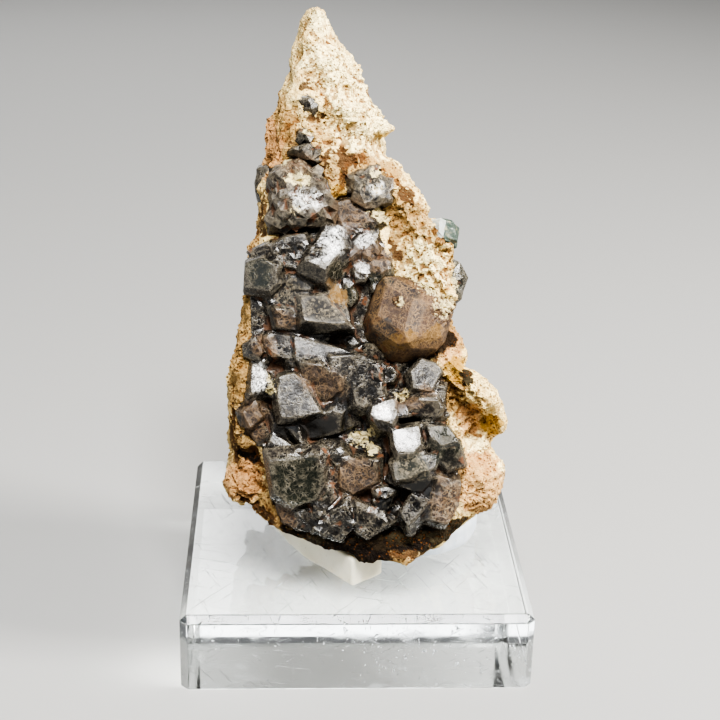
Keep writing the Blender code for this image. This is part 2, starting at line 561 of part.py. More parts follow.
def build_group(name, crystals, parts, seat=False):
    """One group of garnets grown together, or the seat that the rock has for it."""
    meshes = [crystal_body(label, *terms, seat=seat) for label, terms in crystals.items()]
    if name == "garnet_cluster":
        meshes = [crust_body(seat)] + meshes + small_garnet_bodies(seat)
    bodies = [add_object(f"{name} {i}", bm, parts, FACE) for i, bm in enumerate(meshes)]
    join_bodies(bodies[0], bodies[1:], f"{name} members")
    return bodies[0]


def build_crystals(parts, cutters):
    """The garnets, and for each group a slightly larger body that cuts its seat in the rock."""
    garnets = [add_object("round_garnet", round_garnet_body(), parts, FACE)]
    add_object("round garnet seat", round_garnet_body(GAP), cutters, FACE)
    for name, crystals in CRYSTALS.items():
        garnet = build_group(name, crystals, parts)
        cut_clear(garnet, cutters)
        seat = build_group(name, crystals, cutters, seat=True)
        if name == "garnet_cluster":
            cut_back(garnet, CRUST_BACK)
            cut_back(seat, CRUST_BACK - GAP)
        garnet.name = name
        seat.name = f"{name} seat"
        garnets.append(garnet)
    for garnet in garnets:
        colour = GARNET_COLOURS.get(garnet.name, GARNET_COLOUR)
        garnet.data.materials.clear()
        garnet.data.materials.append(make_material(garnet.name, colour, GARNET_ROUGHNESS))


def section_outline(left, right, front_left, front_right, front, depth):
    """One closed section of the rock as (u, w) points, clockwise from the left of the front."""
    width = right - left
    return (
        (front_left, front - FRONT_EDGE_DROP),
        ((front_left + front_right) / 2, front + FRONT_BULGE),
        (front_right, front - FRONT_EDGE_DROP),
        (right - FLANK_TUCK / 2, front - FLANK_TURN),
        (right, front - FLANK_WIDEST),
        (right - FLANK_TUCK, -FLANK_END * depth),
        (left + BACK_RIGHT * width, -depth),
        (left + BACK_LEFT * width, -depth),
        (left + FLANK_TUCK, -FLANK_END * depth),
        (left, front - FLANK_WIDEST),
        ((left + front_left) / 2, front - FLANK_TURN),
    )


def rock_loft():
    """The rock's main form, lofted through its sections."""
    bm = bmesh.new()
    rings = []
    for height, *edges in ROCK_SECTIONS:
        rings.append([bm.verts.new((u, height, w)) for u, w in section_outline(*edges)])
    for low, high in zip(rings, rings[1:]):
        for i in range(len(low)):
            j = (i + 1) % len(low)
            bm.faces.new((low[i], low[j], high[j], high[i]))
    bm.faces.new(rings[0])
    bm.faces.new(rings[-1])
    return bm


def ellipsoid(place, half_sizes, turn):
    bm = bmesh.new()
    scale = Matrix.Diagonal((*half_sizes, 1.0))
    spin = Matrix.Rotation(math.radians(turn), 4, "Z")
    bmesh.ops.create_icosphere(bm, subdivisions=2, radius=1.0,
                               matrix=Matrix.Translation(place) @ spin @ scale)
    return bm


def cloud_texture(name, size):
    texture = bpy.data.textures.new(name, "CLOUDS")
    texture.noise_scale = size * MM
    return texture


def build_rock(parts, cutters):
    rock = add_object("matrix_rock", rock_loft(), parts, FACE)
    lumps = [add_object(name, ellipsoid(*terms), parts, FACE) for name, terms in ROCK_LUMPS.items()]
    join_bodies(rock, lumps, "rock lumps")
    pits = make_collection("rock pits")
    for name, terms in ROCK_PITS.items():
        add_object(name, ellipsoid(*terms), pits, FACE)
    below = bmesh.new()
    middle = (0.0, 0.0, UNDERSIDE_Z - CUTTER_SIZE / 2)
    bmesh.ops.create_cube(below, size=CUTTER_SIZE, matrix=Matrix.Translation(middle))
    add_object("below the underside", below, pits)
    cut_clear(rock, pits)
    add_modifier(rock, "REMESH", mode="VOXEL", voxel_size=ROCK_VOXEL * MM)
    for name, size, strength in ROCK_ROUGHNESS:
        add_modifier(rock, "DISPLACE", texture=cloud_texture(name, size), texture_coords="LOCAL",
                     mid_level=0.5, strength=strength * MM)
    add_modifier(rock, "DECIMATE", decimate_type="COLLAPSE", ratio=ROCK_KEEP)
    bake_modifiers(rock)
    keep_main_body(rock)
    cut_clear(rock, cutters)
    for cutter in (*pits.objects, *cutters.objects):
        hide_as_cutter(cutter)
    rock.data.materials.clear()
    rock.data.materials.append(make_material("matrix_rock", (0.62, 0.50, 0.34, 1.0), 0.9))


def strip_outline(grow):
    """The putty strip's plan: a band of even width along its spine."""
    half = STRIP_WIDTH / 2 + grow
    left_side, right_side = [], []
    points = [Vector(point) for point in STRIP_SPINE]
    for i, point in enumerate(points):
        along = (points[min(i + 1, len(points) - 1)] - points[max(i - 1, 0)]).normalized()
        across = Vector((along.y, -along.x))
        end = along * (grow if i == len(points) - 1 else -grow if i == 0 else 0.0)
        left_side.append(point + end - across * half)
        right_side.append(point + end + across * half)
    return left_side + right_side[::-1]


def strip_body(grow=0.0):
    bm = bmesh.new()
    base = bm.faces.new([bm.verts.new((*point, PUTTY_BOTTOM - grow)) for point in strip_outline(grow)])
    raised = bmesh.ops.extrude_face_region(bm, geom=[base])
    top = [item for item in raised["geom"] if isinstance(item, bmesh.types.BMVert)]
    bmesh.ops.translate(bm, verts=top, vec=(0.0, 0.0, PUTTY_TOP - PUTTY_BOTTOM + 2.0 * grow))
    return bm


def disc_body(grow=0.0):
    """The pressed round of putty: a short cylinder with a rolled edge."""
    bm = bmesh.new()
    height = PUTTY_TOP - PUTTY_BOTTOM + 2.0 * grow
    middle = (*DISC_CENTRE, PUTTY_BOTTOM - grow + height / 2)
    bmesh.ops.create_cone(bm, cap_ends=True, segments=DISC_SEGMENTS, radius1=DISC_RADIUS + grow,
                          radius2=DISC_RADIUS + grow, depth=height, matrix=Matrix.Translation(middle))
    rims = [edge for edge in bm.edges if abs(edge.verts[0].co.z - edge.verts[1].co.z) < LEVEL]
    bmesh.ops.bevel(bm, geom=rims, offset=DISC_EDGE, segments=2, profile=0.5, affect="EDGES",
                    clamp_overlap=True)
    return bm


def build_putty(parts, cutters):
    strip = add_object("cream_putty_strip", strip_body(), parts)
    disc = add_object("white_putty_disc", disc_body(), parts)
    strip.data.materials.append(make_material("cream_putty", (0.80, 0.78, 0.68, 1.0), 0.55))
    disc.data.materials.append(make_material("white_putty", (0.88, 0.90, 0.92, 1.0), 0.5))
    add_modifier(strip, "BEVEL", width=0.3 * MM, segments=2, limit_method="ANGLE")
    add_object("strip seat", strip_body(GAP), cutters)
    add_object("disc seat", disc_body(GAP), cutters)


def build_block(parts):
    """The clear block, chamfered on every edge except those it stands on."""
    bm = bmesh.new()
    size = Matrix.Diagonal((BLOCK_SIDE, BLOCK_SIDE, BLOCK_HEIGHT, 1.0))
    bmesh.ops.create_cube(bm, size=1.0, matrix=Matrix.Translation((0.0, 0.0, BLOCK_HEIGHT / 2)) @ size)
    raised = [edge for edge in bm.edges if max(vert.co.z for vert in edge.verts) > BLOCK_HEIGHT / 2]
    bmesh.ops.bevel(bm, geom=raised, offset=BLOCK_CHAMFER, segments=1, affect="EDGES")
    block = add_object("acrylic_block", bm, parts)
    block.data.materials.append(make_material("acrylic", (1.0, 1.0, 1.0, 1.0), 0.03, 1.0))


def main():
    clear_scene()
    parts = make_collection("garnet in matrix")
    cutters = make_collection("cutters")
    build_block(parts)
    build_putty(parts, cutters)
    build_crystals(parts, cutters)
    build_rock(parts, cutters)


main()
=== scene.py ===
# Dark garnets grown over a pale pointed rock, held with putty on a clear display block.
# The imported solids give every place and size. This script gives the surfaces.

import math
import random

import bpy
import numpy as np
from mathutils import Matrix, Vector, noise
from mathutils.bvhtree import BVHTree


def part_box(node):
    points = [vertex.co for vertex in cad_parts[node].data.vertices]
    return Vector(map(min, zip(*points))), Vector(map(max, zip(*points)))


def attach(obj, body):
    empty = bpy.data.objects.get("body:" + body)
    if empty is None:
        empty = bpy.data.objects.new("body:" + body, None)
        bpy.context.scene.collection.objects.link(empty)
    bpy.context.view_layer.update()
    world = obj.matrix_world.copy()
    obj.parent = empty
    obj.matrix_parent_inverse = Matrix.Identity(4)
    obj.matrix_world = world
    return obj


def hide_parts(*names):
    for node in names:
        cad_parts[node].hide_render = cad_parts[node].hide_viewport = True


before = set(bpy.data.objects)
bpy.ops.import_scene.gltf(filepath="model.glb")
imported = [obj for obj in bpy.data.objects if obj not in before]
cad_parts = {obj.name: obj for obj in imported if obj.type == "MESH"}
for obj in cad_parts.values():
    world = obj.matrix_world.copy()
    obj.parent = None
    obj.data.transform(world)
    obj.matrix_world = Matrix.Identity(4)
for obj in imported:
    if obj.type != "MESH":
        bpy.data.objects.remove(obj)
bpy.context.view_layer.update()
mm = 0.001
print("stage: solids loaded")


# the leaning garnet face has its own frame: u to the right, v up the face, w out of it, in mm
faceFrame = {"foot": (0.0, -0.017, 0.016), "leanDegrees": 23.0}


def faceAxes():
    lean = math.radians(faceFrame["leanDegrees"])
    upward = (0.0, math.sin(lean), math.cos(lean))
    outward = (0.0, -math.cos(lean), math.sin(lean))
    return np.array(((1.0, 0.0, 0.0), upward, outward))


def facePlaces(points):
    return (points - np.array(faceFrame["foot"])) @ faceAxes().T / mm


# selection and modifiers, as by hand
def deselectAll():
    bpy.ops.object.select_all(action="DESELECT")


def activate(piece):
    deselectAll()
    piece.select_set(True)
    bpy.context.view_layer.objects.active = piece


def applyModifier(piece, kind, **values):
    activate(piece)
    modifier = piece.modifiers.new(kind.title(), kind)
    for key, value in values.items():
        setattr(modifier, key, value)
    bpy.ops.object.modifier_apply(modifier=modifier.name)


def copyNode(nodeName, pieceName):
    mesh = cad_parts[nodeName].data.copy()
    mesh.name = pieceName
    piece = bpy.data.objects.new(pieceName, mesh)
    bpy.context.scene.collection.objects.link(piece)
    activate(piece)
    bpy.ops.object.mode_set(mode="EDIT")
    bpy.ops.mesh.select_all(action="SELECT")
    bpy.ops.mesh.remove_doubles(threshold=1e-6)
    bpy.ops.object.mode_set(mode="OBJECT")
    mesh.materials.clear()
    return piece


def displaceWith(piece, kind, size, strength, middle=0.5, group="", guide=None, **textureValues):
    texture = bpy.data.textures.new(f"{piece.name}{kind}", kind)
    texture.noise_scale = size * mm
    for key, value in textureValues.items():
        setattr(texture, key, value)
    values = {"texture": texture, "texture_coords": "LOCAL", "mid_level": middle, "strength": strength * mm}
    if guide:
        values["texture_coords"] = "OBJECT"
        values["texture_coords_object"] = guide
    if group:
        values["vertex_group"] = group
    applyModifier(piece, "DISPLACE", **values)
    bpy.data.textures.remove(texture)


def finishPiece(piece, material, slotName, *nodeNames):
    piece.data.materials.clear()
    piece.data.materials.append(material)
    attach(piece, "root")
    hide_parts(*nodeNames)


# values kept on the vertices, which the materials read
def vertexPlaces(piece):
    places = np.zeros(len(piece.data.vertices) * 3)
    piece.data.vertices.foreach_get("co", places)
    return places.reshape(-1, 3)


def vertexNormals(piece):
    normals = np.zeros(len(piece.data.vertices) * 3)
    piece.data.vertex_normals.foreach_get("vector", normals)
    return normals.reshape(-1, 3)


def saveValue(piece, name, values):
    attribute = piece.data.attributes.new(name, "FLOAT", "POINT")
    attribute.data.foreach_set("value", values.astype(np.float32))


def saveGroup(piece, name, values):
    group = piece.vertex_groups.new(name=name)
    steps = np.round(np.clip(values, 0.0, 1.0) * 20).astype(int)
    for step in range(1, 21):
        members = np.nonzero(steps == step)[0].tolist()
        if members:
            group.add(members, step / 20, "REPLACE")


def smoothStep(values, low, high):
    share = np.clip((values - low) / (high - low), 0.0, 1.0)
    return share * share * (3.0 - 2.0 * share)


def wanderedPlaces(piece):
    # places on the face, nudged by noise so that no stain has a drawn edge
    nudges = [noise.noise_vector(vertex.co / (1.6 * mm)) + noise.noise_vector(vertex.co / (0.55 * mm)) * 0.5
              for vertex in piece.data.vertices]
    places = facePlaces(vertexPlaces(piece))
    return places + np.array(nudges) * 0.9


def patchMask(places, patches):
    mask = np.zeros(len(places))
    for u, v, halfWide, halfHigh, turn in patches:
        angle = math.radians(turn)
        du, dv = places[:, 0] - u, places[:, 1] - v
        along = (du * math.cos(angle) + dv * math.sin(angle)) / halfWide
        across = (dv * math.cos(angle) - du * math.sin(angle)) / halfHigh
        reach = np.sqrt(along ** 2 + across ** 2)
        mask = np.maximum(mask, 1.0 - smoothStep(reach, 0.55, 1.35))
    return mask


def strokeMask(places, strokes):
    mask = np.zeros(len(places))
    flat = places[:, :2]
    for width, *points in strokes:
        for start, end in zip(points, points[1:]):
            start, run = np.array(start), np.array(end) - np.array(start)
            share = np.clip((flat - start) @ run / (run @ run), 0.0, 1.0)
            away = np.linalg.norm(flat - start - share[:, None] * run, axis=1)
            mask = np.maximum(mask, 1.0 - smoothStep(away, 0.35 * width, 1.25 * width))
    return mask


def hollowness(piece, passes, depth):
    places = vertexPlaces(piece)
    ends = np.zeros(len(piece.data.edges) * 2, dtype=np.int64)
    piece.data.edges.foreach_get("vertices", ends)
    ends = ends.reshape(-1, 2)
    both = np.concatenate((ends, ends[:, ::-1]))
    count = np.maximum(np.bincount(both[:, 0], minlength=len(places)), 1)
    blurred = places.copy()
    for _ in range(passes):
        columns = [np.bincount(both[:, 0], blurred[both[:, 1], axis], len(places)) for axis in range(3)]
        blurred = np.stack(columns, axis=1) / count[:, None]
    sunk = ((blurred - places) * vertexNormals(piece)).sum(axis=1) / (depth * mm)
    return np.clip(0.5 + 0.5 * sunk, 0.0, 1.0)


# where the colours of the stone lie, as (u, v, half width, half height, turn)
stoneZones = {
    "brown": (
        (-0.1, 12.4, 3.4, 3.4, 0), (-14.7, 20.6, 3.4, 3.6, 0), (-4.0, 5.6, 8.0, 2.6, -12),
        (6.9, 52.6, 1.8, 1.4, -30), (2.4, 43.4, 3.6, 2.6, 0), (-13.0, 6.4, 4.6, 1.2, -38), (-13.1, 49.6, 1.8, 4.4, 8),
        (-1.0, 49.6, 3.4, 2.6, 0), (-15.4, 15.2, 2.0, 0.9, -30), (-6.8, 57.4, 3.0, 1.4, 0),
        (-6.4, 64.6, 1.6, 1.6, 0), (3.6, 28.4, 3.0, 1.6, 0), (12.2, 9.0, 2.6, 3.6, 0),
        (-9.0, 4.0, 6.0, 2.8, -24), (-1.0, 1.2, 7.0, 2.4, -12), (-16.8, 19.0, 2.4, 4.6, 0),
        (7.6, 1.6, 4.6, 1.4, 10), (-8.0, 58.8, 2.4, 1.6, 0), (-7.6, 68.2, 0.9, 1.4, 0),
        (2.6, 35.0, 1.8, 5.6, 0), (-3.8, 49.0, 5.0, 1.4, -20), (7.0, 29.6, 5.0, 2.0, 0), (-14.4, 17.6, 3.0, 1.6, 0),
        (-5.0, 56.6, 6.0, 3.0, 0),
    ),
    "tan": (
        (-15.8, 30.0, 3.0, 24.0, 0), (-11.4, 61.0, 3.0, 13.0, 14), (-11.0, 7.0, 5.0, 3.2, -20),
        (0.0, 1.0, 9.0, 3.0, 0), (13.0, 24.0, 2.0, 3.0, 0), (-1.0, 56.0, 8.0, 3.0, 0), (7.0, 50.0, 5.0, 3.0, -30),
        (15.0, 34.0, 2.4, 4.0, 0),
    ),
    "pink": (
        (-12.8, 60.0, 1.8, 13.0, 12), (18.1, 11.0, 4.6, 5.0, 0), (13.0, 30.4, 2.4, 3.2, 0), (-16.4, 11.4, 3.0, 3.4, 0),
        (16.4, 20.4, 2.2, 2.6, -20),
    ),
    "pale": (
        (9.6, 42.6, 3.6, 4.6, 20), (8.0, 49.0, 3.4, 2.0, -35), (-2.4, 70.0, 3.2, 6.0, 26),
        (0.6, 60.6, 4.6, 2.6, -30), (-5.4, 77.6, 1.8, 2.2, 0), (-3.5, 56.4, 1.0, 2.6, 16), (0.4, 66.0, 3.6, 7.0, 20), (-7.0, 72.4, 1.0, 2.6, -30),
        (-3.4, 66.0, 1.0, 4.6, 30), (17.0, 16.6, 2.0, 1.6, 0), (20.8, 12.8, 1.2, 2.0, 0),
    ),
    # painted shadow: near-black where the recess under the garnets at the foot and a few small crevices lie in shade
    "shade": (
        (8.0, 4.0, 6.2, 2.2, 4), (-3.4, 2.4, 8.0, 1.7, -15), (13.6, 4.4, 2.4, 1.6, 24), (2.0, 3.0, 3.0, 1.6, 0), (9.0, 32.0, 5.0, 2.6, 0), (15.4, 26.6, 1.2, 0.7, 0),
        (-15.6, 15.2, 1.8, 0.7, -28), (2.4, 56.2, 0.9, 0.7, 0), (2.6, 69.0, 0.7, 1.2, 30),
    ),
    "ochre": (
        (19.4, 19.6, 1.7, 1.6, 0), (-3.0, 38.2, 1.5, 3.0, 28), (-2.9, 53.0, 1.4, 1.0, 0),
        (5.8, 31.4, 4.0, 1.5, 10), (10.4, 32.6, 2.6, 1.0, 30), (0.6, 22.6, 0.9, 0.9, 0), (14.0, 27.6, 1.6, 2.2, -40),
    ),
}

# orange-red iron stain, as (width, point, point, ...)
ironStrokes = (
    (0.55, (-2.6, 53.4), (-3.6, 51.2), (-5.4, 49.4), (-8.4, 47.4), (-12.0, 46.4)),
    (0.60, (-0.6, 58.4), (-1.9, 55.8), (-2.8, 53.0)),
    (0.50, (0.2, 58.0), (2.4, 56.6), (5.2, 54.6), (8.0, 53.6)),
    (0.45, (-1.7, 44.6), (-1.3, 41.4), (0.5, 38.4), (1.2, 35.2), (1.9, 32.4), (4.2, 30.2)),
    (0.40, (3.0, 27.0), (3.8, 28.5), (5.2, 28.4), (5.9, 27.0), (5.0, 25.5), (3.6, 25.6), (3.0, 27.0)),
    (0.35, (2.4, 29.0), (2.9, 26.4), (3.4, 23.6), (1.8, 20.8)),
    (0.40, (2.4, 17.0), (3.2, 13.6), (3.0, 9.4), (1.2, 6.4)),
    (0.40, (-4.6, 16.2), (-3.6, 13.0), (-3.3, 9.6)),
    (0.60, (14.6, 21.8), (16.6, 20.0), (17.6, 17.4)),
    (0.50, (14.6, 15.2), (15.4, 12.4), (14.6, 8.6)),
    (0.50, (-14.2, 12.6), (-13.6, 9.6), (-12.0, 7.0)),
    (0.60, (-13.0, 53.6), (-14.2, 48.6), (-15.4, 44.4)),
    (0.45, (-9.4, 62.6), (-6.2, 59.8), (-4.0, 59.8)),
    (0.40, (-5.8, 68.4), (-3.6, 64.2), (-2.4, 60.8)),
    (0.45, (-7.6, 76.2), (-5.2, 75.0), (-3.4, 74.6)),
    (0.50, (-0.6, 70.6), (1.6, 69.6), (2.2, 66.6)),
    (0.35, (-9.2, 31.4), (-8.4, 29.8)), (0.5, (-13.4, 31.8), (-12.0, 29.4)),
)

# where garnet faces differ in colour
garnetZones = {
    "green": (
        (12.4, 16.8, 2.4, 3.6, 0), (7.2, 13.8, 2.6, 2.4, 0), (-8.7, 11.8, 4.4, 4.2, 0),
        (-1.1, 38.2, 1.2, 1.8, 0), (-14.2, 41.2, 2.2, 2.4, 0), (3.2, 41.2, 2.0, 1.6, 0),
        (14.6, 40.4, 2.0, 3.6, 0), (-3.0, 41.6, 1.6, 1.2, 0),
    ),
    "grey": (
        (-7.1, 31.0, 6.0, 1.7, -14), (-8.6, 23.9, 3.4, 3.4, 0), (9.8, 27.0, 2.6, 2.4, 0),
        (-5.4, 36.0, 3.4, 2.2, -10), (-2.2, 28.2, 1.8, 2.0, 0), (10.2, 14.8, 1.8, 1.4, 0),
        (-8.0, 38.0, 2.2, 3.0, 0), (3.7, 33.2, 1.6, 2.4, 0),
    ),
    "brown": (
        (-0.1, 12.4, 3.2, 3.0, 0), (-5.0, 25.6, 3.6, 2.4, -25), (-10.2, 34.6, 2.2, 1.6, -20),
        (12.6, 9.2, 2.6, 3.8, 0), (-14.9, 20.4, 2.6, 3.4, 0), (-11.0, 6.4, 2.6, 2.0, -30),
        (-13.2, 31.0, 2.0, 1.6, 0), (2.0, 43.4, 3.4, 2.4, 0), (-1.0, 49.6, 3.4, 2.6, 0),
        (7.0, 22.8, 2.2, 1.2, 0), (-9.0, 56.8, 3.0, 1.6, 0), (10.0, 24.6, 1.2, 1.0, 0),
    ),
    "speckled": (
        (-4.7, 36.2, 3.6, 2.4, -10), (7.2, 14.0, 2.6, 2.2, 0), (-9.6, 38.4, 2.4, 2.6, 0), (13.6, 9.0, 2.6, 3.6, 0),
        (-8.6, 56.0, 3.4, 3.0, 0), (1.8, 54.0, 3.0, 2.6, 0),
    ),
    # painted highlight: pale grey speckles painted where glints of light lie on the garnet faces
    "bright": (
        (-7.6, 51.6, 2.4, 1.3, -15), (2.4, 53.2, 1.5, 0.8, 0), (-14.0, 26.4, 1.0, 1.8, 0), (-3.4, 45.8, 1.3, 2.6, -25),
        (3.5, 21.9, 1.2, 1.3, 0), (0.9, 45.8, 1.6, 1.0, 30), (0.3, 42.2, 0.8, 1.3, 0),
    ),
    "fresh": (
        (-3.4, 45.6, 2.6, 3.6, -25), (-0.6, 45.4, 2.6, 2.2, 30), (0.4, 42.0, 1.4, 1.8, 0), (-14.0, 26.6, 1.8, 2.6, 0),
        (3.7, 21.9, 2.2, 2.2, 0), (6.4, 22.0, 1.2, 1.4, 0), (6.8, 17.8, 2.4, 2.4, 0), (-7.8, 51.6, 2.6, 1.8, -20),
        (1.6, 54.4, 2.2, 1.2, 0), (8.2, 7.6, 2.2, 2.4, 0), (-6.6, 19.4, 5.6, 2.0, 8), (8.8, 10.8, 3.0, 1.8, 0),
        (12.4, 18.6, 2.4, 1.6, 0),
    ),
    # painted shadow: near-black faces where the crust lies in shade under overhangs and in the recess at its foot
    "black": (
        (-6.6, 19.4, 5.2, 1.6, 8), (8.8, 10.8, 2.8, 1.6, 0), (-2.2, 22.8, 1.6, 1.4, 30),
        (-6.0, 33.0, 4.6, 1.2, -8), (12.8, 14.2, 1.8, 2.0, 0), (3.8, 8.4, 1.6, 1.2, 0),
        (9.0, 3.8, 4.4, 1.6, 6), (-11.0, 39.4, 1.4, 0.8, 0), (4.4, 27.0, 1.0, 1.0, 0),
        (-4.0, 4.6, 4.0, 1.4, -14),
    ),
}


# cream grains that still cling to the garnets
creamOverGarnets = (
    (12.6, 38.6, 2.0, 4.4, -14), (10.4, 40.4, 3.6, 2.3, -30), (5.4, 37.2, 0.7, 0.7, 0), (-4.0, 57.4, 1.6, 1.0, 0), (-9.0, 50.0, 1.0, 0.8, 0),
    (3.6, 49.4, 2.6, 1.2, -20), (0.6, 18.0, 1.8, 1.6, 0), (6.4, 24.0, 1.2, 1.2, 0), (3.0, 55.8, 2.0, 0.8, 0),
    (-12.4, 25.2, 0.9, 1.6, 0), (2.0, 16.4, 1.4, 0.7, 20), (-7.4, 61.4, 1.4, 0.8, 0), (2.4, 53.2, 1.0, 0.8, 0),
    (-8.6, 54.4, 2.2, 1.2, 0), (-10.6, 57.4, 1.2, 0.8, 0),
)


# shader helpers
def addNode(tree, kind, inputs=None, **settings):
    made = tree.nodes.new("ShaderNode" + kind)
    for key, value in settings.items():
        setattr(made, key, value)
    for key, value in (inputs or {}).items():
        if isinstance(value, bpy.types.NodeSocket):
            tree.links.new(value, made.inputs[key])
        else:
            made.inputs[key].default_value = value
    return made


def reckon(tree, operation, first, second=0.0, clamp=False):
    return addNode(tree, "Math", {0: first, 1: second}, operation=operation, use_clamp=clamp).outputs[0]


def spread(tree, value, low, high, toLow=0.0, toHigh=1.0):
    ranged = addNode(tree, "MapRange", {"Value": value, 1: low, 2: high, 3: toLow, 4: toHigh},
                     interpolation_type="SMOOTHSTEP")
    return ranged.outputs[0]


def mixColours(tree, share, first, second, blend="MIX"):
    mixed = addNode(tree, "Mix", {0: share, 6: first, 7: second}, data_type="RGBA", blend_type=blend)
    return mixed.outputs[2]


def readValue(tree, name):
    return addNode(tree, "Attribute", attribute_name=name).outputs["Fac"]


def newGroup(name, inputs, outputs):
    tree = bpy.data.node_groups.new(name, "ShaderNodeTree")
    for socketName, kind in inputs.items():
        tree.interface.new_socket(socketName, in_out="INPUT", socket_type="NodeSocket" + kind)
    for socketName, kind in outputs.items():
        tree.interface.new_socket(socketName, in_out="OUTPUT", socket_type="NodeSocket" + kind)
    inside = tree.nodes.new("NodeGroupInput")
    outside = tree.nodes.new("NodeGroupOutput")
    return tree, inside.outputs, outside.inputs


def placeGroup(tree, group, inputs):
    placed = tree.nodes.new("ShaderNodeGroup")
    placed.node_tree = group
    for key, value in inputs.items():
        if isinstance(value, bpy.types.NodeSocket):
            tree.links.new(value, placed.inputs[key])
        else:
            placed.inputs[key].default_value = value
    return placed.outputs


def makeGrainGroup():
    # crystal grains: a tone for each, the joint between them, and their height
    tree, given, result = newGroup("mineralGrains", {"Vector": "Vector", "Scale": "Float", "Wander": "Float"},
                                   {"Tone": "Float", "Joint": "Float", "Height": "Float"})
    drift = addNode(tree, "TexNoise", {"Vector": given["Vector"], "Scale": given["Scale"], "Detail": 3.0})
    moved = addNode(tree, "VectorMath", {0: drift.outputs["Color"], 1: (0.5, 0.5, 0.5)}, operation="SUBTRACT")
    scaled = addNode(tree, "VectorMath", {0: moved.outputs[0], "Scale": given["Wander"]}, operation="SCALE")
    place = addNode(tree, "VectorMath", {0: given["Vector"], 1: scaled.outputs[0]}, operation="ADD").outputs[0]
    cells = addNode(tree, "TexVoronoi", {"Vector": place, "Scale": given["Scale"]})
    parts = addNode(tree, "SeparateColor", {0: cells.outputs["Color"]})
    edges = addNode(tree, "TexVoronoi", {"Vector": place, "Scale": given["Scale"]}, feature="DISTANCE_TO_EDGE")
    joint = spread(tree, edges.outputs["Distance"], 0.0, 0.14, 1.0, 0.0)
    rise = spread(tree, cells.outputs["Distance"], 0.0, 0.8, 1.0, 0.0)
    tree.links.new(parts.outputs[0], result["Tone"])
    tree.links.new(joint, result["Joint"])
    tree.links.new(rise, result["Height"])
    return tree


def makeThreadGroup():
    # a drifting net of hair-thin lines in two sizes, thick in some patches and gone in others
    tree, given, result = newGroup("fineThreads", {"Vector": "Vector", "Scale": "Float", "Width": "Float",
                                                   "Cover": "Float"}, {"Mask": "Float"})
    drift = addNode(tree, "TexNoise", {"Vector": given["Vector"], "Scale": given["Scale"], "Detail": 2.0,
                                       "Roughness": 0.5})
    moved = addNode(tree, "VectorMath", {0: drift.outputs["Color"], 1: (0.5, 0.5, 0.5)}, operation="SUBTRACT")
    reach = reckon(tree, "DIVIDE", 1.7, given["Scale"])
    scaled = addNode(tree, "VectorMath", {0: moved.outputs[0], "Scale": reach}, operation="SCALE")
    place = addNode(tree, "VectorMath", {0: given["Vector"], 1: scaled.outputs[0]}, operation="ADD").outputs[0]
    lines = []
    for finer, strength in ((1.0, 1.0), (1.8, 0.85)):
        cellScale = reckon(tree, "MULTIPLY", given["Scale"], finer)
        cells = addNode(tree, "TexVoronoi", {"Vector": place, "Scale": cellScale}, feature="DISTANCE_TO_EDGE")
        line = addNode(tree, "MapRange", {"Value": cells.outputs["Distance"], 1: 0.0, 2: given["Width"],
                                          3: strength, 4: 0.0})
        lines.append(line.outputs[0])
    patchScale = reckon(tree, "MULTIPLY", given["Scale"], 0.6)
    patches = addNode(tree, "TexNoise", {"Vector": given["Vector"], "Scale": patchScale, "Detail": 5.0,
                                         "Roughness": 0.7})
    over = reckon(tree, "ADD", patches.outputs["Fac"], given["Cover"])
    shown = spread(tree, over, 0.9, 1.15)
    tree.links.new(reckon(tree, "MULTIPLY", reckon(tree, "MAXIMUM", *lines), shown), result["Mask"])
    return tree


def makeBloomGroup():
    # a stain that fills a zone and its hollows with a ragged edge
    tree, given, result = newGroup("stainBloom", {"Vector": "Vector", "Zone": "Float", "Hollow": "Float",
                                                  "Scale": "Float", "Ragged": "Float"}, {"Mask": "Float"})
    cloud = addNode(tree, "TexNoise", {"Vector": given["Vector"], "Scale": given["Scale"], "Detail": 6.0,
                                       "Roughness": 0.65})
    ragged = reckon(tree, "MULTIPLY", reckon(tree, "SUBTRACT", cloud.outputs["Fac"], 0.5), given["Ragged"])
    total = reckon(tree, "ADD", reckon(tree, "ADD", given["Zone"], given["Hollow"]), ragged)
    tree.links.new(spread(tree, total, 0.38, 0.72), result["Mask"])
    return tree


def makeScratchGroup():
    # long hair scratches along one direction, broken up by patches
    tree, given, result = newGroup("hairScratches", {"Vector": "Vector", "Turn": "Float", "Scale": "Float",
                                                     "Cover": "Float"}, {"Mask": "Float"})
    turned = addNode(tree, "VectorRotate", {"Vector": given["Vector"], "Angle": given["Turn"]},
                     rotation_type="Z_AXIS")
    stretched = addNode(tree, "VectorMath", {0: turned.outputs[0], 1: (0.035, 1.0, 0.25)}, operation="MULTIPLY")
    lines = addNode(tree, "TexNoise", {"Vector": stretched.outputs[0], "Scale": given["Scale"], "Detail": 2.0,
                                       "Roughness": 0.8})
    thin = spread(tree, lines.outputs["Fac"], 0.66, 0.74)
    patches = addNode(tree, "TexNoise", {"Vector": given["Vector"], "Scale": 90.0, "Detail": 2.0})
    shown = spread(tree, reckon(tree, "ADD", patches.outputs["Fac"], given["Cover"]), 0.5, 0.8)
    tree.links.new(reckon(tree, "MULTIPLY", thin, shown), result["Mask"])
    return tree


grainGroup = makeGrainGroup()
threadGroup = makeThreadGroup()
bloomGroup = makeBloomGroup()
scratchGroup = makeScratchGroup()
print("stage: shared effects ready")


def newMaterial(name):
    material = bpy.data.materials.new(name)
    material.use_nodes = True
    tree = material.node_tree
    shader = tree.nodes["Principled BSDF"]
    place = addNode(tree, "TexCoord").outputs["Object"]
    return material, tree, shader, place


def addBump(tree, shader, height, distance, strength=1.0):
    bump = addNode(tree, "Bump", {"Height": height, "Distance": distance, "Strength": strength})
    tree.links.new(bump.outputs["Normal"], shader.inputs["Normal"])


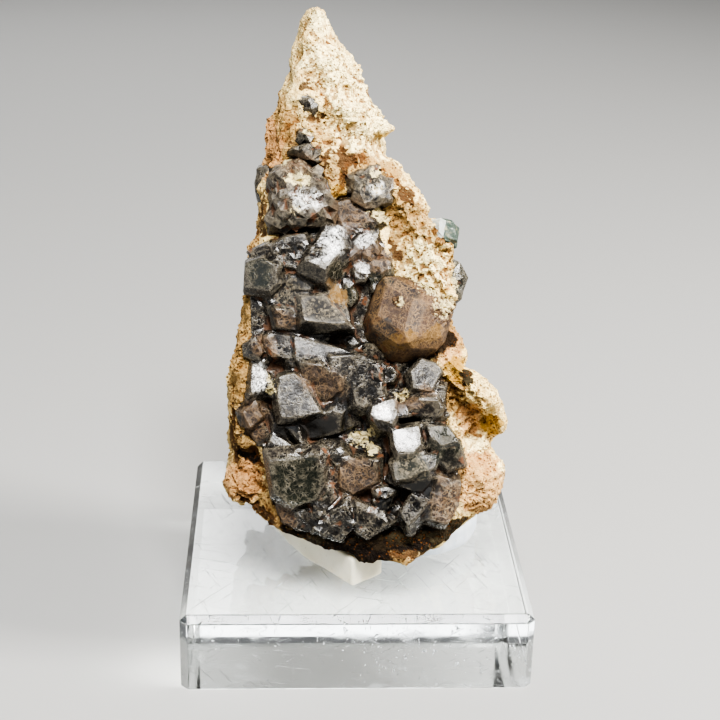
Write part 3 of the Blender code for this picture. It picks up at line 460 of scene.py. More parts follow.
rockLook = {
    "cream": (0.72, 0.53, 0.23, 1.0),
    "pale": (0.93, 0.81, 0.45, 1.0),
    "tan": (0.31, 0.185, 0.070, 1.0),
    "pink": (0.44, 0.235, 0.105, 1.0),
    "brown": (0.060, 0.028, 0.013, 1.0),
    "iron": (0.13, 0.050, 0.014, 1.0),
    "ochre": (0.33, 0.19, 0.035, 1.0),
    "shade": (0.008, 0.006, 0.005, 1.0),
    "grainScale": 1300.0,
    "roughness": 0.95,
}


def makeRockMaterial():
    look = rockLook
    material, tree, shader, place = newMaterial("pitted cream rock")
    hollow = readValue(tree, "hollow")
    coarse = placeGroup(tree, grainGroup, {"Vector": place, "Scale": look["grainScale"], "Wander": 0.0004})
    fine = placeGroup(tree, grainGroup, {"Vector": place, "Scale": 3.1 * look["grainScale"], "Wander": 0.0002})
    cloud = addNode(tree, "TexNoise", {"Vector": place, "Scale": 260.0, "Detail": 7.0, "Roughness": 0.62})
    blotch = spread(tree, cloud.outputs["Fac"], 0.28, 0.52)
    region = addNode(tree, "TexNoise", {"Vector": place, "Scale": 95.0, "Detail": 4.0}).outputs["Fac"]
    colour = mixColours(tree, blotch, look["tan"], look["cream"])
    colour = mixColours(tree, reckon(tree, "MULTIPLY", coarse["Tone"], 0.55), colour, look["pale"])
    colour = mixColours(tree, spread(tree, region, 0.46, 0.66, 0.0, 0.45), colour, look["tan"])
    paleShare = placeGroup(tree, bloomGroup, {"Vector": place, "Zone": readValue(tree, "pale"), "Hollow": 0.0,
                                              "Scale": 700.0, "Ragged": 1.2})["Mask"]
    colour = mixColours(tree, reckon(tree, "MULTIPLY", paleShare, 0.85), colour, look["pale"])
    # tan in the hollows: partly the stone's own staining, partly painted shade in the creases
    colour = mixColours(tree, spread(tree, hollow, 0.54, 0.80, 0.0, 0.75), colour, look["tan"])
    colour = mixColours(tree, reckon(tree, "MULTIPLY", coarse["Joint"], 0.35), colour, look["tan"])
    tanShare = placeGroup(tree, bloomGroup, {"Vector": place, "Zone": readValue(tree, "tan"), "Hollow": -0.05,
                                             "Scale": 520.0, "Ragged": 1.6})["Mask"]
    colour = mixColours(tree, reckon(tree, "MULTIPLY", tanShare, 0.8), colour, look["tan"])
    pinkShare = placeGroup(tree, bloomGroup, {"Vector": place, "Zone": readValue(tree, "pink"), "Hollow": 0.0,
                                              "Scale": 330.0, "Ragged": 1.9})["Mask"]
    colour = mixColours(tree, reckon(tree, "MULTIPLY", pinkShare, 0.70), colour, look["pink"])
    ochreShare = placeGroup(tree, bloomGroup, {"Vector": place, "Zone": readValue(tree, "ochre"), "Hollow": 0.0,
                                               "Scale": 600.0, "Ragged": 1.1})["Mask"]
    colour = mixColours(tree, reckon(tree, "MULTIPLY", ochreShare, 0.8), colour, look["ochre"])
    deep = reckon(tree, "SUBTRACT", hollow, 0.54)
    brownShare = placeGroup(tree, bloomGroup, {"Vector": place, "Zone": readValue(tree, "brown"), "Hollow": deep,
                                               "Scale": 1100.0, "Ragged": 1.6})["Mask"]
    brownShare = reckon(tree, "MULTIPLY", brownShare, spread(tree, paleShare, 0.3, 0.9, 0.9, 0.15))
    colour = mixColours(tree, brownShare, colour, look["brown"])
    sunk = reckon(tree, "MULTIPLY", spread(tree, hollow, 0.62, 0.95, 0.0, 0.62),
                  spread(tree, region, 0.42, 0.58, 0.45, 1.0))
    ironShare = placeGroup(tree, bloomGroup, {"Vector": place, "Zone": readValue(tree, "iron"), "Hollow": sunk,
                                              "Scale": 480.0, "Ragged": 1.1})["Mask"]
    ironShare = reckon(tree, "MULTIPLY", ironShare, spread(tree, brownShare, 0.0, 1.0, 0.85, 0.25))
    ironShare = reckon(tree, "MULTIPLY", ironShare, spread(tree, pinkShare, 0.0, 1.0, 1.0, 0.25))
    colour = mixColours(tree, ironShare, colour, look["iron"])
    # painted shadow: the shaded recess and crevices turned near black, reaching further into hollows
    shadeShare = placeGroup(tree, bloomGroup, {"Vector": place, "Zone": readValue(tree, "shade"), "Hollow": 0.2,
                                               "Scale": 800.0, "Ragged": 1.0})["Mask"]
    colour = mixColours(tree, reckon(tree, "MULTIPLY", shadeShare, 0.95), colour, look["shade"])
    pit = addNode(tree, "TexVoronoi", {"Vector": place, "Scale": 2300.0})
    pitTone = addNode(tree, "SeparateColor", {0: pit.outputs["Color"]}).outputs[1]
    dot = reckon(tree, "MULTIPLY", spread(tree, pit.outputs["Distance"], 0.20, 0.50, 1.0, 0.0),
                 spread(tree, pitTone, 0.45, 0.60))
    colour = mixColours(tree, reckon(tree, "MULTIPLY", dot, 0.75), colour, look["iron"])
    tree.links.new(colour, shader.inputs["Base Color"])
    shader.inputs["Roughness"].default_value = look["roughness"]
    shader.inputs["Specular IOR Level"].default_value = 0.15
    height = reckon(tree, "ADD", coarse["Height"], reckon(tree, "MULTIPLY", fine["Height"], 0.5))
    height = reckon(tree, "SUBTRACT", reckon(tree, "ADD", height, cloud.outputs["Fac"]),
                    reckon(tree, "MULTIPLY", dot, 0.9))
    addBump(tree, shader, height, 0.00020)
    return material


garnetLook = {
    # painted shadow colour
    "black": (0.004, 0.0037, 0.0036, 1.0),
    "grey": (0.018, 0.017, 0.017, 1.0),
    "green": (0.010, 0.012, 0.008, 1.0),
    "brown": (0.024, 0.014, 0.009, 1.0),
    "iron": (0.11, 0.040, 0.012, 1.0),
    "brownThread": (0.200, 0.128, 0.066, 1.0),
    "dust": (0.085, 0.034, 0.011, 1.0),
    "grit": (0.30, 0.25, 0.17, 1.0),
    "ochre": (0.130, 0.072, 0.018, 1.0),
    # painted highlight colour for the glint patches
    "bright": (0.62, 0.62, 0.60, 1.0),
    "shine": 0.07,
    "dull": 0.92,
    "refraction": 1.5,
}

# each kind runs from one base to the other, facet by facet
garnetKinds = {
    "dark garnet": {"base": (0.014, 0.012, 0.011, 1.0), "other": (0.004, 0.0037, 0.0036, 1.0),
                    "thread": (0.200, 0.175, 0.130, 1.0), "cover": 0.50, "speckle": 0.02, "worn": 0.27},
    "brown garnet": {"base": (0.050, 0.022, 0.009, 1.0), "other": (0.014, 0.010, 0.010, 1.0),
                     "thread": (0.230, 0.140, 0.060, 1.0), "cover": 0.60, "speckle": 0.02, "worn": 0.55},
    "speckled garnet": {"base": (0.024, 0.014, 0.009, 1.0), "other": (0.004, 0.0037, 0.0036, 1.0),
                        "thread": (0.200, 0.175, 0.130, 1.0), "cover": 0.56, "speckle": 0.14, "worn": 0.35},
}


def makeGarnetMaterial(name):
    look = garnetLook | garnetKinds[name]
    material, tree, shader, place = newMaterial(name)
    hollow = readValue(tree, "hollow")
    tone = readValue(tree, "facetTone")
    cloud = addNode(tree, "TexNoise", {"Vector": place, "Scale": 420.0, "Detail": 6.0, "Roughness": 0.6})
    fineCloud = addNode(tree, "TexNoise", {"Vector": place, "Scale": 2600.0, "Detail": 4.0, "Roughness": 0.7})
    colour = mixColours(tree, tone, look["other"], look["base"])
    for zone in ("grey", "green", "brown"):
        share = placeGroup(tree, bloomGroup, {"Vector": place, "Zone": readValue(tree, zone), "Hollow": 0.0,
                                              "Scale": 380.0, "Ragged": 0.8})["Mask"]
        colour = mixColours(tree, reckon(tree, "MULTIPLY", share, 0.85), colour, look[zone])
    ochreShare = placeGroup(tree, bloomGroup, {"Vector": place, "Zone": readValue(tree, "ochre"), "Hollow": 0.0,
                                               "Scale": 900.0, "Ragged": 1.6})["Mask"]
    colour = mixColours(tree, reckon(tree, "MULTIPLY", ochreShare, 0.85), colour, look["ochre"])
    # painted shadow: shaded faces are turned near black, with fewer threads and less dust showing
    paintedShadowShare = readValue(tree, "black")
    colour = mixColours(tree, reckon(tree, "MULTIPLY", paintedShadowShare, 0.9), colour, look["black"])
    mottled = spread(tree, cloud.outputs["Fac"], 0.35, 0.7, 0.75, 1.25)
    colour = mixColours(tree, 1.0, colour, addNode(tree, "CombineColor", {0: mottled, 1: mottled, 2: mottled}
                                                   ).outputs[0], "MULTIPLY")
    roughShare = readValue(tree, "brown")
    cover = reckon(tree, "ADD", look["cover"], reckon(tree, "MULTIPLY", roughShare, 0.12))
    lines = placeGroup(tree, threadGroup, {"Vector": place, "Scale": 900.0, "Width": 0.09, "Cover": cover})["Mask"]
    lines = reckon(tree, "MULTIPLY", lines, spread(tree, paintedShadowShare, 0.0, 1.0, 0.9, 0.15))
    lines = reckon(tree, "MULTIPLY", lines, spread(tree, readValue(tree, "fresh"), 0.2, 0.9, 1.0, 0.4))
    # lighter convex edges: edge wear, and partly a painted highlight along the rims
    rims = spread(tree, hollow, 0.26, 0.42, 0.45, 0.0)
    rims = reckon(tree, "MULTIPLY", rims, spread(tree, fineCloud.outputs["Fac"], 0.35, 0.6))
    lines = reckon(tree, "MAXIMUM", lines, rims)
    threadColour = mixColours(tree, roughShare, look["thread"], look["brownThread"])
    colour = mixColours(tree, reckon(tree, "MULTIPLY", lines, 0.8), colour, threadColour)
    grit = addNode(tree, "TexVoronoi", {"Vector": place, "Scale": 3400.0})
    gritTone = addNode(tree, "SeparateColor", {0: grit.outputs["Color"]}).outputs[0]
    speckled = reckon(tree, "ADD", reckon(tree, "MULTIPLY", readValue(tree, "speckled"), 0.32), look["speckle"])
    gritShare = reckon(tree, "MULTIPLY", spread(tree, gritTone, 0.55, 0.95), speckled)
    colour = mixColours(tree, gritShare, colour, look["grit"])
    dusty = spread(tree, reckon(tree, "ADD", hollow, reckon(tree, "MULTIPLY", fineCloud.outputs["Fac"], 0.3)),
                   0.78, 0.98)
    dusty = reckon(tree, "MULTIPLY", dusty, spread(tree, paintedShadowShare, 0.0, 1.0, 0.75, 0.1))
    colour = mixColours(tree, dusty, colour, look["dust"])
    ironShare = placeGroup(tree, bloomGroup, {"Vector": place, "Zone": readValue(tree, "iron"), "Hollow": 0.0,
                                              "Scale": 900.0, "Ragged": 2.0})["Mask"]
    colour = mixColours(tree, reckon(tree, "MULTIPLY", ironShare, 0.85), colour, look["iron"])
    paleShare = placeGroup(tree, bloomGroup, {"Vector": place, "Zone": readValue(tree, "pale"), "Hollow": -0.15,
                                              "Scale": 1900.0, "Ragged": 2.4})["Mask"]
    colour = mixColours(tree, paleShare, colour, mixColours(tree, fineCloud.outputs["Fac"], rockLook["brown"],
                                                            rockLook["pale"]))
    # painted highlight: speckled pale grey patches standing in for glints of light on these faces
    paintedGlintShare = reckon(tree, "MULTIPLY", readValue(tree, "bright"),
                         spread(tree, fineCloud.outputs["Fac"], 0.42, 0.56, 0.0, 0.8))
    colour = mixColours(tree, paintedGlintShare, colour, look["bright"])
    tree.links.new(colour, shader.inputs["Base Color"])
    ochreShare = reckon(tree, "MAXIMUM", ochreShare, paleShare)
    matt = reckon(tree, "MAXIMUM", reckon(tree, "MAXIMUM", dusty, ironShare),
                  reckon(tree, "MAXIMUM", reckon(tree, "MULTIPLY", lines, 0.6), ochreShare))
    matt = reckon(tree, "MAXIMUM", matt, reckon(tree, "MULTIPLY", readValue(tree, "brown"), 0.55))
    matt = reckon(tree, "MAXIMUM", matt, reckon(tree, "MULTIPLY", readValue(tree, "speckled"), 0.85))
    matt = reckon(tree, "MAXIMUM", matt, spread(tree, readValue(tree, "fresh"), 0.2, 0.7, look["worn"], 0.0))
    uneven = spread(tree, fineCloud.outputs["Fac"], 0.4, 0.75, 0.0, 0.12)
    rough = reckon(tree, "ADD", spread(tree, matt, 0.0, 1.0, look["shine"], look["dull"]), uneven)
    tree.links.new(rough, shader.inputs["Roughness"])
    shader.inputs["IOR"].default_value = look["refraction"]
    height = reckon(tree, "ADD", fineCloud.outputs["Fac"], reckon(tree, "MULTIPLY", lines, 0.8))
    height = reckon(tree, "ADD", height, reckon(tree, "MULTIPLY", gritShare, 1.5))
    height = reckon(tree, "ADD", height, reckon(tree, "MULTIPLY", roughShare, cloud.outputs["Fac"]))
    addBump(tree, shader, height, 0.00003)
    return material


# the pale stone that carries everything
rock = {
    "voxel": 0.30,
    "swell": 0.16,
    "broad": (4.2, 1.5),
    "ridges": (1.9, 1.1),
    "ridgeCreases": (0.95, 0.55),
    "ridgeRun": (0.52, -0.85, 0.0),
    "ridgeStretch": 3.4,
    "lumps": (1.9, 0.50),
    "grains": (0.70, 0.26),
    "crumbs": (0.34, 0.14),
    "layerPeriod": 1.5,
    "layerTurbulence": 3.4,
    "layerHeight": 0.8,
    "layerPatches": 4.5,
    "layerNormal": (0.50, -0.13, 0.86),
    "blocks": (7.0, 2.2),
    "knobs": (1.5, 1.35),
    "granules": (0.60, 0.55),
    "rimReach": 1.3,
    "rimSwell": 1.0,
    "faceLimit": 190000,
}

layeredZones = (
    (-12.2, 58.0, 3.2, 17.0, 12), (-16.6, 34.0, 2.8, 22.0, 0),
)


knobblyZones = (
    (10.6, 43.0, 5.0, 9.0, 16), (6.0, 51.0, 4.0, 4.0, 0), (15.6, 23.0, 6.0, 2.6, -50), (13.6, 18.0, 3.0, 4.0, 0),
    (-15.0, 10.0, 3.4, 6.0, 0),
)

granularZones = (
    (18.1, 11.0, 5.0, 6.0, 0), (-16.4, 12.0, 4.0, 7.0, 0), (-16.4, 34.0, 3.0, 20.0, 0), (-2.0, 66.0, 6.0, 12.0, 0),
    (13.0, 31.0, 3.0, 4.0, 0),
)

ridgedZones = (
    (-1.0, 67.0, 6.0, 13.0, 12), (4.0, 57.0, 6.0, 5.0, -30), (9.6, 44.0, 4.0, 6.0, 20),
)


def makeGuide(matrix):
    guide = bpy.data.objects.new("guide", None)
    bpy.context.scene.collection.objects.link(guide)
    guide.matrix_world = matrix
    bpy.context.view_layer.update()
    return guide


def makeLayerGuide():
    # the wood texture's bands stand square to (1, 1, 1), at a fixed step
    normal = Vector(rock["layerNormal"] @ faceAxes()).normalized()
    turn = Vector((1.0, 1.0, 1.0)).normalized().rotation_difference(normal).to_matrix().to_4x4()
    step = rock["layerPeriod"] * mm * math.sqrt(3.0) / (2.0 * math.pi / 10.0)
    return makeGuide(turn @ Matrix.Scale(step, 4))


def makeRidgeGuide():
    # stretched along the ridges, so that round lumps grow long
    run = Vector(rock["ridgeRun"] @ faceAxes()).normalized()
    return makeGuide(Matrix.Scale(rock["ridgeStretch"], 4, run))


def garnetTree():
    points, faces = [], []
    for values in garnets.values():
        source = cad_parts[values["node"]].data
        first = len(points)
        points += [vertex.co.copy() for vertex in source.vertices]
        faces += [tuple(first + index for index in polygon.vertices) for polygon in source.polygons]
    return BVHTree.FromPolygons(points, faces)


def nearGarnets(piece):
    tree = garnetTree()
    reach = rock["rimReach"] * mm
    found = [tree.find_nearest(vertex.co, reach)[3] for vertex in piece.data.vertices]
    return np.array([0.0 if distance is None else 1.0 - distance / reach for distance in found])


def makeRock(material):
    piece = copyNode("matrix_rock", "creamRock")
    applyModifier(piece, "REMESH", mode="VOXEL", voxel_size=rock["voxel"] * mm, use_smooth_shade=True)
    places = facePlaces(vertexPlaces(piece))
    behind = smoothStep(-places[:, 2], 4.0, 12.0)
    patchy = [noise.noise(vertex.co / (rock["layerPatches"] * mm)) for vertex in piece.data.vertices]
    saveGroup(piece, "layered", patchMask(places, layeredZones) * smoothStep(np.array(patchy), -0.25, 0.35))
    applyModifier(piece, "DISPLACE", strength=rock["swell"] * mm, mid_level=0.0)
    saveGroup(piece, "rims", nearGarnets(piece))
    saveGroup(piece, "ridged", np.maximum(patchMask(places, ridgedZones), 0.6 * behind))
    saveGroup(piece, "knobbly", patchMask(places, knobblyZones))
    saveGroup(piece, "behind", behind)
    saveGroup(piece, "granular", patchMask(places, granularZones))
    applyModifier(piece, "DISPLACE", strength=rock["rimSwell"] * mm, mid_level=0.0, vertex_group="rims")
    displaceWith(piece, "CLOUDS", *rock["broad"], noise_depth=2)
    displaceWith(piece, "CLOUDS", *rock["blocks"], group="behind", noise_type="HARD_NOISE", noise_depth=2)
    guide = makeRidgeGuide()
    displaceWith(piece, "CLOUDS", *rock["ridges"], group="ridged", guide=guide, noise_depth=1)
    displaceWith(piece, "CLOUDS", *rock["ridgeCreases"], group="ridged", guide=guide, noise_type="HARD_NOISE",
                 noise_depth=1)
    bpy.data.objects.remove(guide)
    guide = makeLayerGuide()
    displaceWith(piece, "WOOD", 0.25 / mm, rock["layerHeight"], group="layered", guide=guide,
                 wood_type="BANDNOISE", noise_basis_2="SAW", turbulence=rock["layerTurbulence"])
    bpy.data.objects.remove(guide)
    displaceWith(piece, "CLOUDS", *rock["lumps"], noise_type="HARD_NOISE", noise_depth=2)
    displaceWith(piece, "CLOUDS", *rock["knobs"], group="knobbly", noise_type="HARD_NOISE", noise_depth=1)
    displaceWith(piece, "CLOUDS", *rock["granules"], group="granular", noise_type="HARD_NOISE", noise_depth=1)
    displaceWith(piece, "CLOUDS", *rock["grains"], noise_type="HARD_NOISE", noise_depth=1)
    displaceWith(piece, "CLOUDS", *rock["crumbs"], noise_depth=1)
    piece.vertex_groups.clear()
    faces = 2 * len(piece.data.polygons)
    if faces > rock["faceLimit"]:
        applyModifier(piece, "DECIMATE", ratio=rock["faceLimit"] / faces)
    places = wanderedPlaces(piece)
    for zone, patches in stoneZones.items():
        depth = 4.0 if zone in ("brown", "shade") else 12.0
        saveValue(piece, zone, patchMask(places, patches) * (1.0 - smoothStep(-places[:, 2], depth, depth + 6.0)))
    front = 1.0 - smoothStep(-places[:, 2], 8.0, 14.0)
    saveValue(piece, "iron", 0.65 * strokeMask(places, ironStrokes) * front)
    saveValue(piece, "hollow", hollowness(piece, 5, 0.22))
    activate(piece)
    bpy.ops.object.shade_smooth_by_angle(angle=math.radians(50))
    finishPiece(piece, material, "matrix", "matrix_rock")
    print("stage: rock,", len(piece.data.polygons), "faces")


# every garnet body is a refined copy of its solid
garnets = {
    "garnetCluster": {"node": "garnet_cluster", "voxel": 0.21, "chips": 0.42, "broken": 0.03, "bulges": 0.05,
                      "swell": 0.05, "facets": 14000},
    "roundGarnet": {"node": "round_garnet", "voxel": 0.10, "chips": 0.06, "broken": 0.10, "bulges": 0.05,
                    "swell": 0.20, "facets": 5000},
    "upperGarnet": {"node": "upper_garnet", "voxel": 0.14, "chips": 0.90, "broken": 0.80, "bulges": 1.4,
                    "swell": 0.15, "facets": 900},
    "middleGarnet": {"node": "middle_garnet", "voxel": 0.13, "chips": 0.70, "broken": 0.80, "bulges": 1.0,
                     "swell": 0.15, "facets": 520},
    "topGarnet": {"node": "top_garnet", "voxel": 0.13, "chips": 0.80, "broken": 1.0, "bulges": 0.8,
                  "swell": 0.10, "facets": 260},
    "smallTopGarnet": {"node": "small_top_garnet", "voxel": 0.12, "chips": 0.70, "broken": 1.0, "bulges": 0.6,
                       "swell": 0.10, "facets": 140},
    "summitGarnet": {"node": "summit_garnet", "voxel": 0.12, "chips": 0.70, "broken": 1.0, "bulges": 0.6,
                     "swell": 0.05, "facets": 140},
    "flankGarnet": {"node": "flank_garnet", "voxel": 0.13, "chips": 0.60, "broken": 0.8, "bulges": 0.5,
                    "swell": 0.15, "facets": 320},
    "edgeGarnet": {"node": "edge_garnet", "voxel": 0.13, "chips": 0.60, "broken": 0.8, "bulges": 0.5,
                   "swell": 0.15, "facets": 320},
}

# parts of the crust that are many small broken crystals
brokenZones = (
    (-5.0, 5.6, 8.0, 2.8, -14), (8.5, 3.8, 5.0, 2.0, 6), (3.4, 27.6, 1.4, 2.0, 0), (-13.4, 30.4, 2.2, 2.4, 0),
    (-0.6, 47.6, 4.6, 2.2, 0), (2.0, 43.0, 3.6, 3.2, 0), (1.2, 17.6, 2.6, 2.0, 0), (-6.0, 15.8, 4.0, 0.8, 0),
    (3.6, 7.6, 2.4, 3.0, 0), (-8.6, 44.2, 4.0, 1.2, 0), (-12.8, 36.2, 2.4, 1.2, 0),
)


def facetTones(piece, nodeName):
    # each flat face of the solid gets a tone of its own, which its refined copy takes over
    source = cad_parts[nodeName].data
    points = [vertex.co.copy() for vertex in source.vertices]
    faces = [tuple(polygon.vertices) for polygon in source.polygons]
    tones = []
    for polygon in source.polygons:
        normal = polygon.normal
        level = polygon.center.dot(normal) / (0.4 * mm)
        plane = (round(normal.x * 12), round(normal.y * 12), round(normal.z * 12), round(level))
        tones.append(random.Random(str(plane)).random())
    tree = BVHTree.FromPolygons(points, faces)
    found = [tree.find_nearest(vertex.co)[2] for vertex in piece.data.vertices]
    return np.array([tones[face] for face in found])


def makeGarnet(name, values, material, slotName):
    piece = copyNode(values["node"], name)
    applyModifier(piece, "REMESH", mode="VOXEL", voxel_size=values["voxel"] * mm, use_smooth_shade=True)
    saveGroup(piece, "gaps", smoothStep(hollowness(piece, 14, 0.4), 0.53, 0.75))
    applyModifier(piece, "SMOOTH", factor=0.5, iterations=20, vertex_group="gaps")
    places = facePlaces(vertexPlaces(piece))
    broken = np.maximum(patchMask(places, brokenZones), 0.45 * patchMask(places, garnetZones["brown"]))
    broken = np.maximum(broken, values["broken"])
    saveGroup(piece, "crusted", patchMask(places, creamOverGarnets))
    saveGroup(piece, "broken", broken)
    displaceWith(piece, "VORONOI", 1.5, values["chips"], middle=0.4, group="broken", distance_metric="MANHATTAN")
    displaceWith(piece, "CLOUDS", 0.9, 0.5 * values["chips"], group="broken", noise_depth=1)
    displaceWith(piece, "CLOUDS", 2.4, values["bulges"], noise_depth=1)
    displaceWith(piece, "CLOUDS", 0.7, 1.2, middle=0.3, group="crusted", noise_type="HARD_NOISE", noise_depth=1)
    applyModifier(piece, "DISPLACE", strength=values["swell"] * mm, mid_level=0.0)
    piece.vertex_groups.clear()
    faces = 2 * len(piece.data.polygons)
    applyModifier(piece, "DECIMATE", ratio=min(1.0, values["facets"] / faces))
    applyModifier(piece, "SUBSURF", subdivision_type="SIMPLE", levels=1, render_levels=1)
    places = wanderedPlaces(piece)
    for zone, patches in garnetZones.items():
        saveValue(piece, zone, patchMask(places, patches))
    saveValue(piece, "ochre", 0.7 * patchMask(places, stoneZones["ochre"]))
    saveValue(piece, "pale", 0.85 * patchMask(places, creamOverGarnets))
    saveValue(piece, "iron", 0.55 * strokeMask(places, ironStrokes))
    saveValue(piece, "hollow", hollowness(piece, 6, 0.25))
    saveValue(piece, "facetTone", facetTones(piece, values["node"]))
    activate(piece)
    bpy.ops.object.shade_smooth_by_angle(angle=math.radians(9))
    finishPiece(piece, material, slotName, values["node"])
    print("stage:", name, len(piece.data.polygons), "faces")


# the small grey-green crystal, its left-facing side painted whitish as a painted highlight
greenCrystal = {
    "voxel": 0.10,
    "green": (0.045, 0.065, 0.052, 1.0),
    "white": (0.55, 0.59, 0.56, 1.0),
    "roughness": 0.28,
}


def makeGreenCrystal():
    look = greenCrystal
    material, tree, shader, place = newMaterial("grey-green crystal")
    cloud = addNode(tree, "TexNoise", {"Vector": place, "Scale": 1500.0, "Detail": 5.0})
    side = addNode(tree, "SeparateXYZ", {0: addNode(tree, "NewGeometry").outputs["True Normal"]})
    # painted highlight: faces turned to the left get the pale colour
    white = spread(tree, side.outputs[0], -0.45, -0.15, 1.0, 0.0)
    colour = mixColours(tree, white, look["green"], look["white"])
    colour = mixColours(tree, spread(tree, cloud.outputs["Fac"], 0.5, 0.85, 0.0, 0.3), colour, rockLook["pale"])
    tree.links.new(colour, shader.inputs["Base Color"])
    rough = spread(tree, cloud.outputs["Fac"], 0.3, 0.7, look["roughness"], look["roughness"] + 0.25)
    tree.links.new(rough, shader.inputs["Roughness"])
    addBump(tree, shader, cloud.outputs["Fac"], 0.00005)
    piece = copyNode("small_green_crystal", "smallGreenCrystal")
    applyModifier(piece, "REMESH", mode="VOXEL", voxel_size=look["voxel"] * mm, use_smooth_shade=True)
    displaceWith(piece, "CLOUDS", 0.8, 0.12, noise_depth=2)
    activate(piece)
    bpy.ops.object.shade_smooth_by_angle(angle=math.radians(32))
    finishPiece(piece, material, "green_crystal", "small_green_crystal")


# the two kinds of putty
putty = {
    "cream": (0.80, 0.76, 0.63, 1.0),
    "white": (0.74, 0.79, 0.85, 1.0),
    "voxel": 0.26,
}


def makePuttyMaterial(name, colour, shade, waxy):
    material, tree, shader, place = newMaterial(name)
    cloud = addNode(tree, "TexNoise", {"Vector": place, "Scale": 230.0, "Detail": 5.0})
    fine = addNode(tree, "TexNoise", {"Vector": place, "Scale": 2200.0, "Detail": 3.0})
    tinted = mixColours(tree, spread(tree, cloud.outputs["Fac"], 0.35, 0.7, 0.0, 0.6), colour, shade)
    speck = spread(tree, fine.outputs["Fac"], 0.66, 0.72, 0.0, 0.35)
    tree.links.new(mixColours(tree, speck, tinted, rockLook["tan"]), shader.inputs["Base Color"])
    tree.links.new(spread(tree, cloud.outputs["Fac"], 0.3, 0.7, 0.35, 0.6), shader.inputs["Roughness"])
    shader.inputs["Subsurface Weight"].default_value = waxy
    shader.inputs["Subsurface Radius"].default_value = (1.0, 0.9, 0.7)
    shader.inputs["Subsurface Scale"].default_value = 0.0012
    height = reckon(tree, "ADD", cloud.outputs["Fac"], reckon(tree, "MULTIPLY", fine.outputs["Fac"], 0.15))
    addBump(tree, shader, height, 0.0002)
    return material


def makePutty():
    strip = copyNode("cream_putty_strip", "creamPuttyStrip")
    applyModifier(strip, "REMESH", mode="VOXEL", voxel_size=putty["voxel"] * mm, use_smooth_shade=True)
    displaceWith(strip, "CLOUDS", 3.2, 0.45, noise_depth=2)
    activate(strip)
    bpy.ops.object.shade_smooth_by_angle(angle=math.radians(40))
    creamPutty = makePuttyMaterial("cream putty", putty["cream"], (0.70, 0.66, 0.52, 1.0), 0.5)
    finishPiece(strip, creamPutty, "cream_putty", "cream_putty_strip")
    disc = copyNode("white_putty_disc", "whitePuttyDisc")
    applyModifier(disc, "REMESH", mode="VOXEL", voxel_size=putty["voxel"] * mm, use_smooth_shade=True)
    displaceWith(disc, "CLOUDS", 5.0, 0.5, noise_depth=2)
    activate(disc)
    bpy.ops.object.shade_smooth_by_angle(angle=math.radians(40))
    whitePutty = makePuttyMaterial("white putty", putty["white"], (0.58, 0.66, 0.75, 1.0), 0.3)
    finishPiece(disc, whitePutty, "white_putty", "white_putty_disc")
    print("stage: putty")


# the clear display block
acrylic = {
    "chamfer": 1.0,
    "edge": 0.10,
    "tint": (0.86, 0.94, 0.95, 1.0),
    "scratched": (0.70, 0.74, 0.77, 1.0),
    "shadowTint": (0.90, 0.92, 0.92, 1.0),
    "density": 9.0,
    "refraction": 1.49,
    "roughness": 0.02,
    "scratchTurns": (0.3, 1.2, 2.2),
}


def makeAcrylicMaterial():
    look = acrylic
    material, tree, shader, place = newMaterial("clear acrylic")
    marks = 0.0
    for turn in look["scratchTurns"]:
        hairs = placeGroup(tree, scratchGroup, {"Vector": place, "Turn": turn, "Scale": 2400.0, "Cover": 0.12})
        marks = reckon(tree, "MAXIMUM", hairs["Mask"], marks)
    haze = addNode(tree, "TexNoise", {"Vector": place, "Scale": 160.0, "Detail": 5.0})
    haze = spread(tree, haze.outputs["Fac"], 0.45, 0.75, 0.0, 0.16)
    rough = reckon(tree, "ADD", reckon(tree, "MULTIPLY", marks, 0.35), haze)
    tree.links.new(reckon(tree, "ADD", rough, look["roughness"]), shader.inputs["Roughness"])
    tree.links.new(mixColours(tree, marks, (1.0, 1.0, 1.0, 1.0), look["scratched"]), shader.inputs["Base Color"])
    shader.inputs["Transmission Weight"].default_value = 1.0
    shader.inputs["IOR"].default_value = look["refraction"]
    addBump(tree, shader, marks, 0.00010)
    inside = addNode(tree, "VolumeAbsorption")
    inside.inputs["Color"].default_value = look["tint"]
    inside.inputs["Density"].default_value = look["density"]
    output = tree.nodes["Material Output"]
    tree.links.new(inside.outputs[0], output.inputs["Volume"])
    passing = addNode(tree, "BsdfTransparent", {"Color": look["shadowTint"]})
    shadow = addNode(tree, "LightPath").outputs["Is Shadow Ray"]
    both = addNode(tree, "MixShader", {0: shadow, 1: shader.outputs[0], 2: passing.outputs[0]})
    tree.links.new(both.outputs[0], output.inputs["Surface"])
    return material


def makeBlock():
    low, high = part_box("acrylic_block")
    bpy.ops.mesh.primitive_cube_add(size=1.0, location=(low + high) / 2, scale=high - low)
    piece = bpy.context.active_object
    piece.name = piece.data.name = "clearBlock"
    activate(piece)
    bpy.ops.object.transform_apply(location=True, rotation=True, scale=True)
    deselectAll()
    piece.select_set(True)
    raised = piece.data.attributes.new("bevel_weight_edge", "FLOAT", "EDGE")
    for edge in piece.data.edges:
        ends = [piece.data.vertices[index].co.z for index in edge.vertices]
        raised.data[edge.index].value = 1.0 if max(ends) > low.z + mm else 0.0
    applyModifier(piece, "BEVEL", width=acrylic["chamfer"] * mm, segments=1, limit_method="WEIGHT")
    applyModifier(piece, "BEVEL", width=acrylic["edge"] * mm, segments=2, limit_method="ANGLE",
                  angle_limit=math.radians(20))
    activate(piece)
    bpy.ops.object.shade_flat()
    finishPiece(piece, makeAcrylicMaterial(), "clear_acrylic", "acrylic_block")
    print("stage: block")


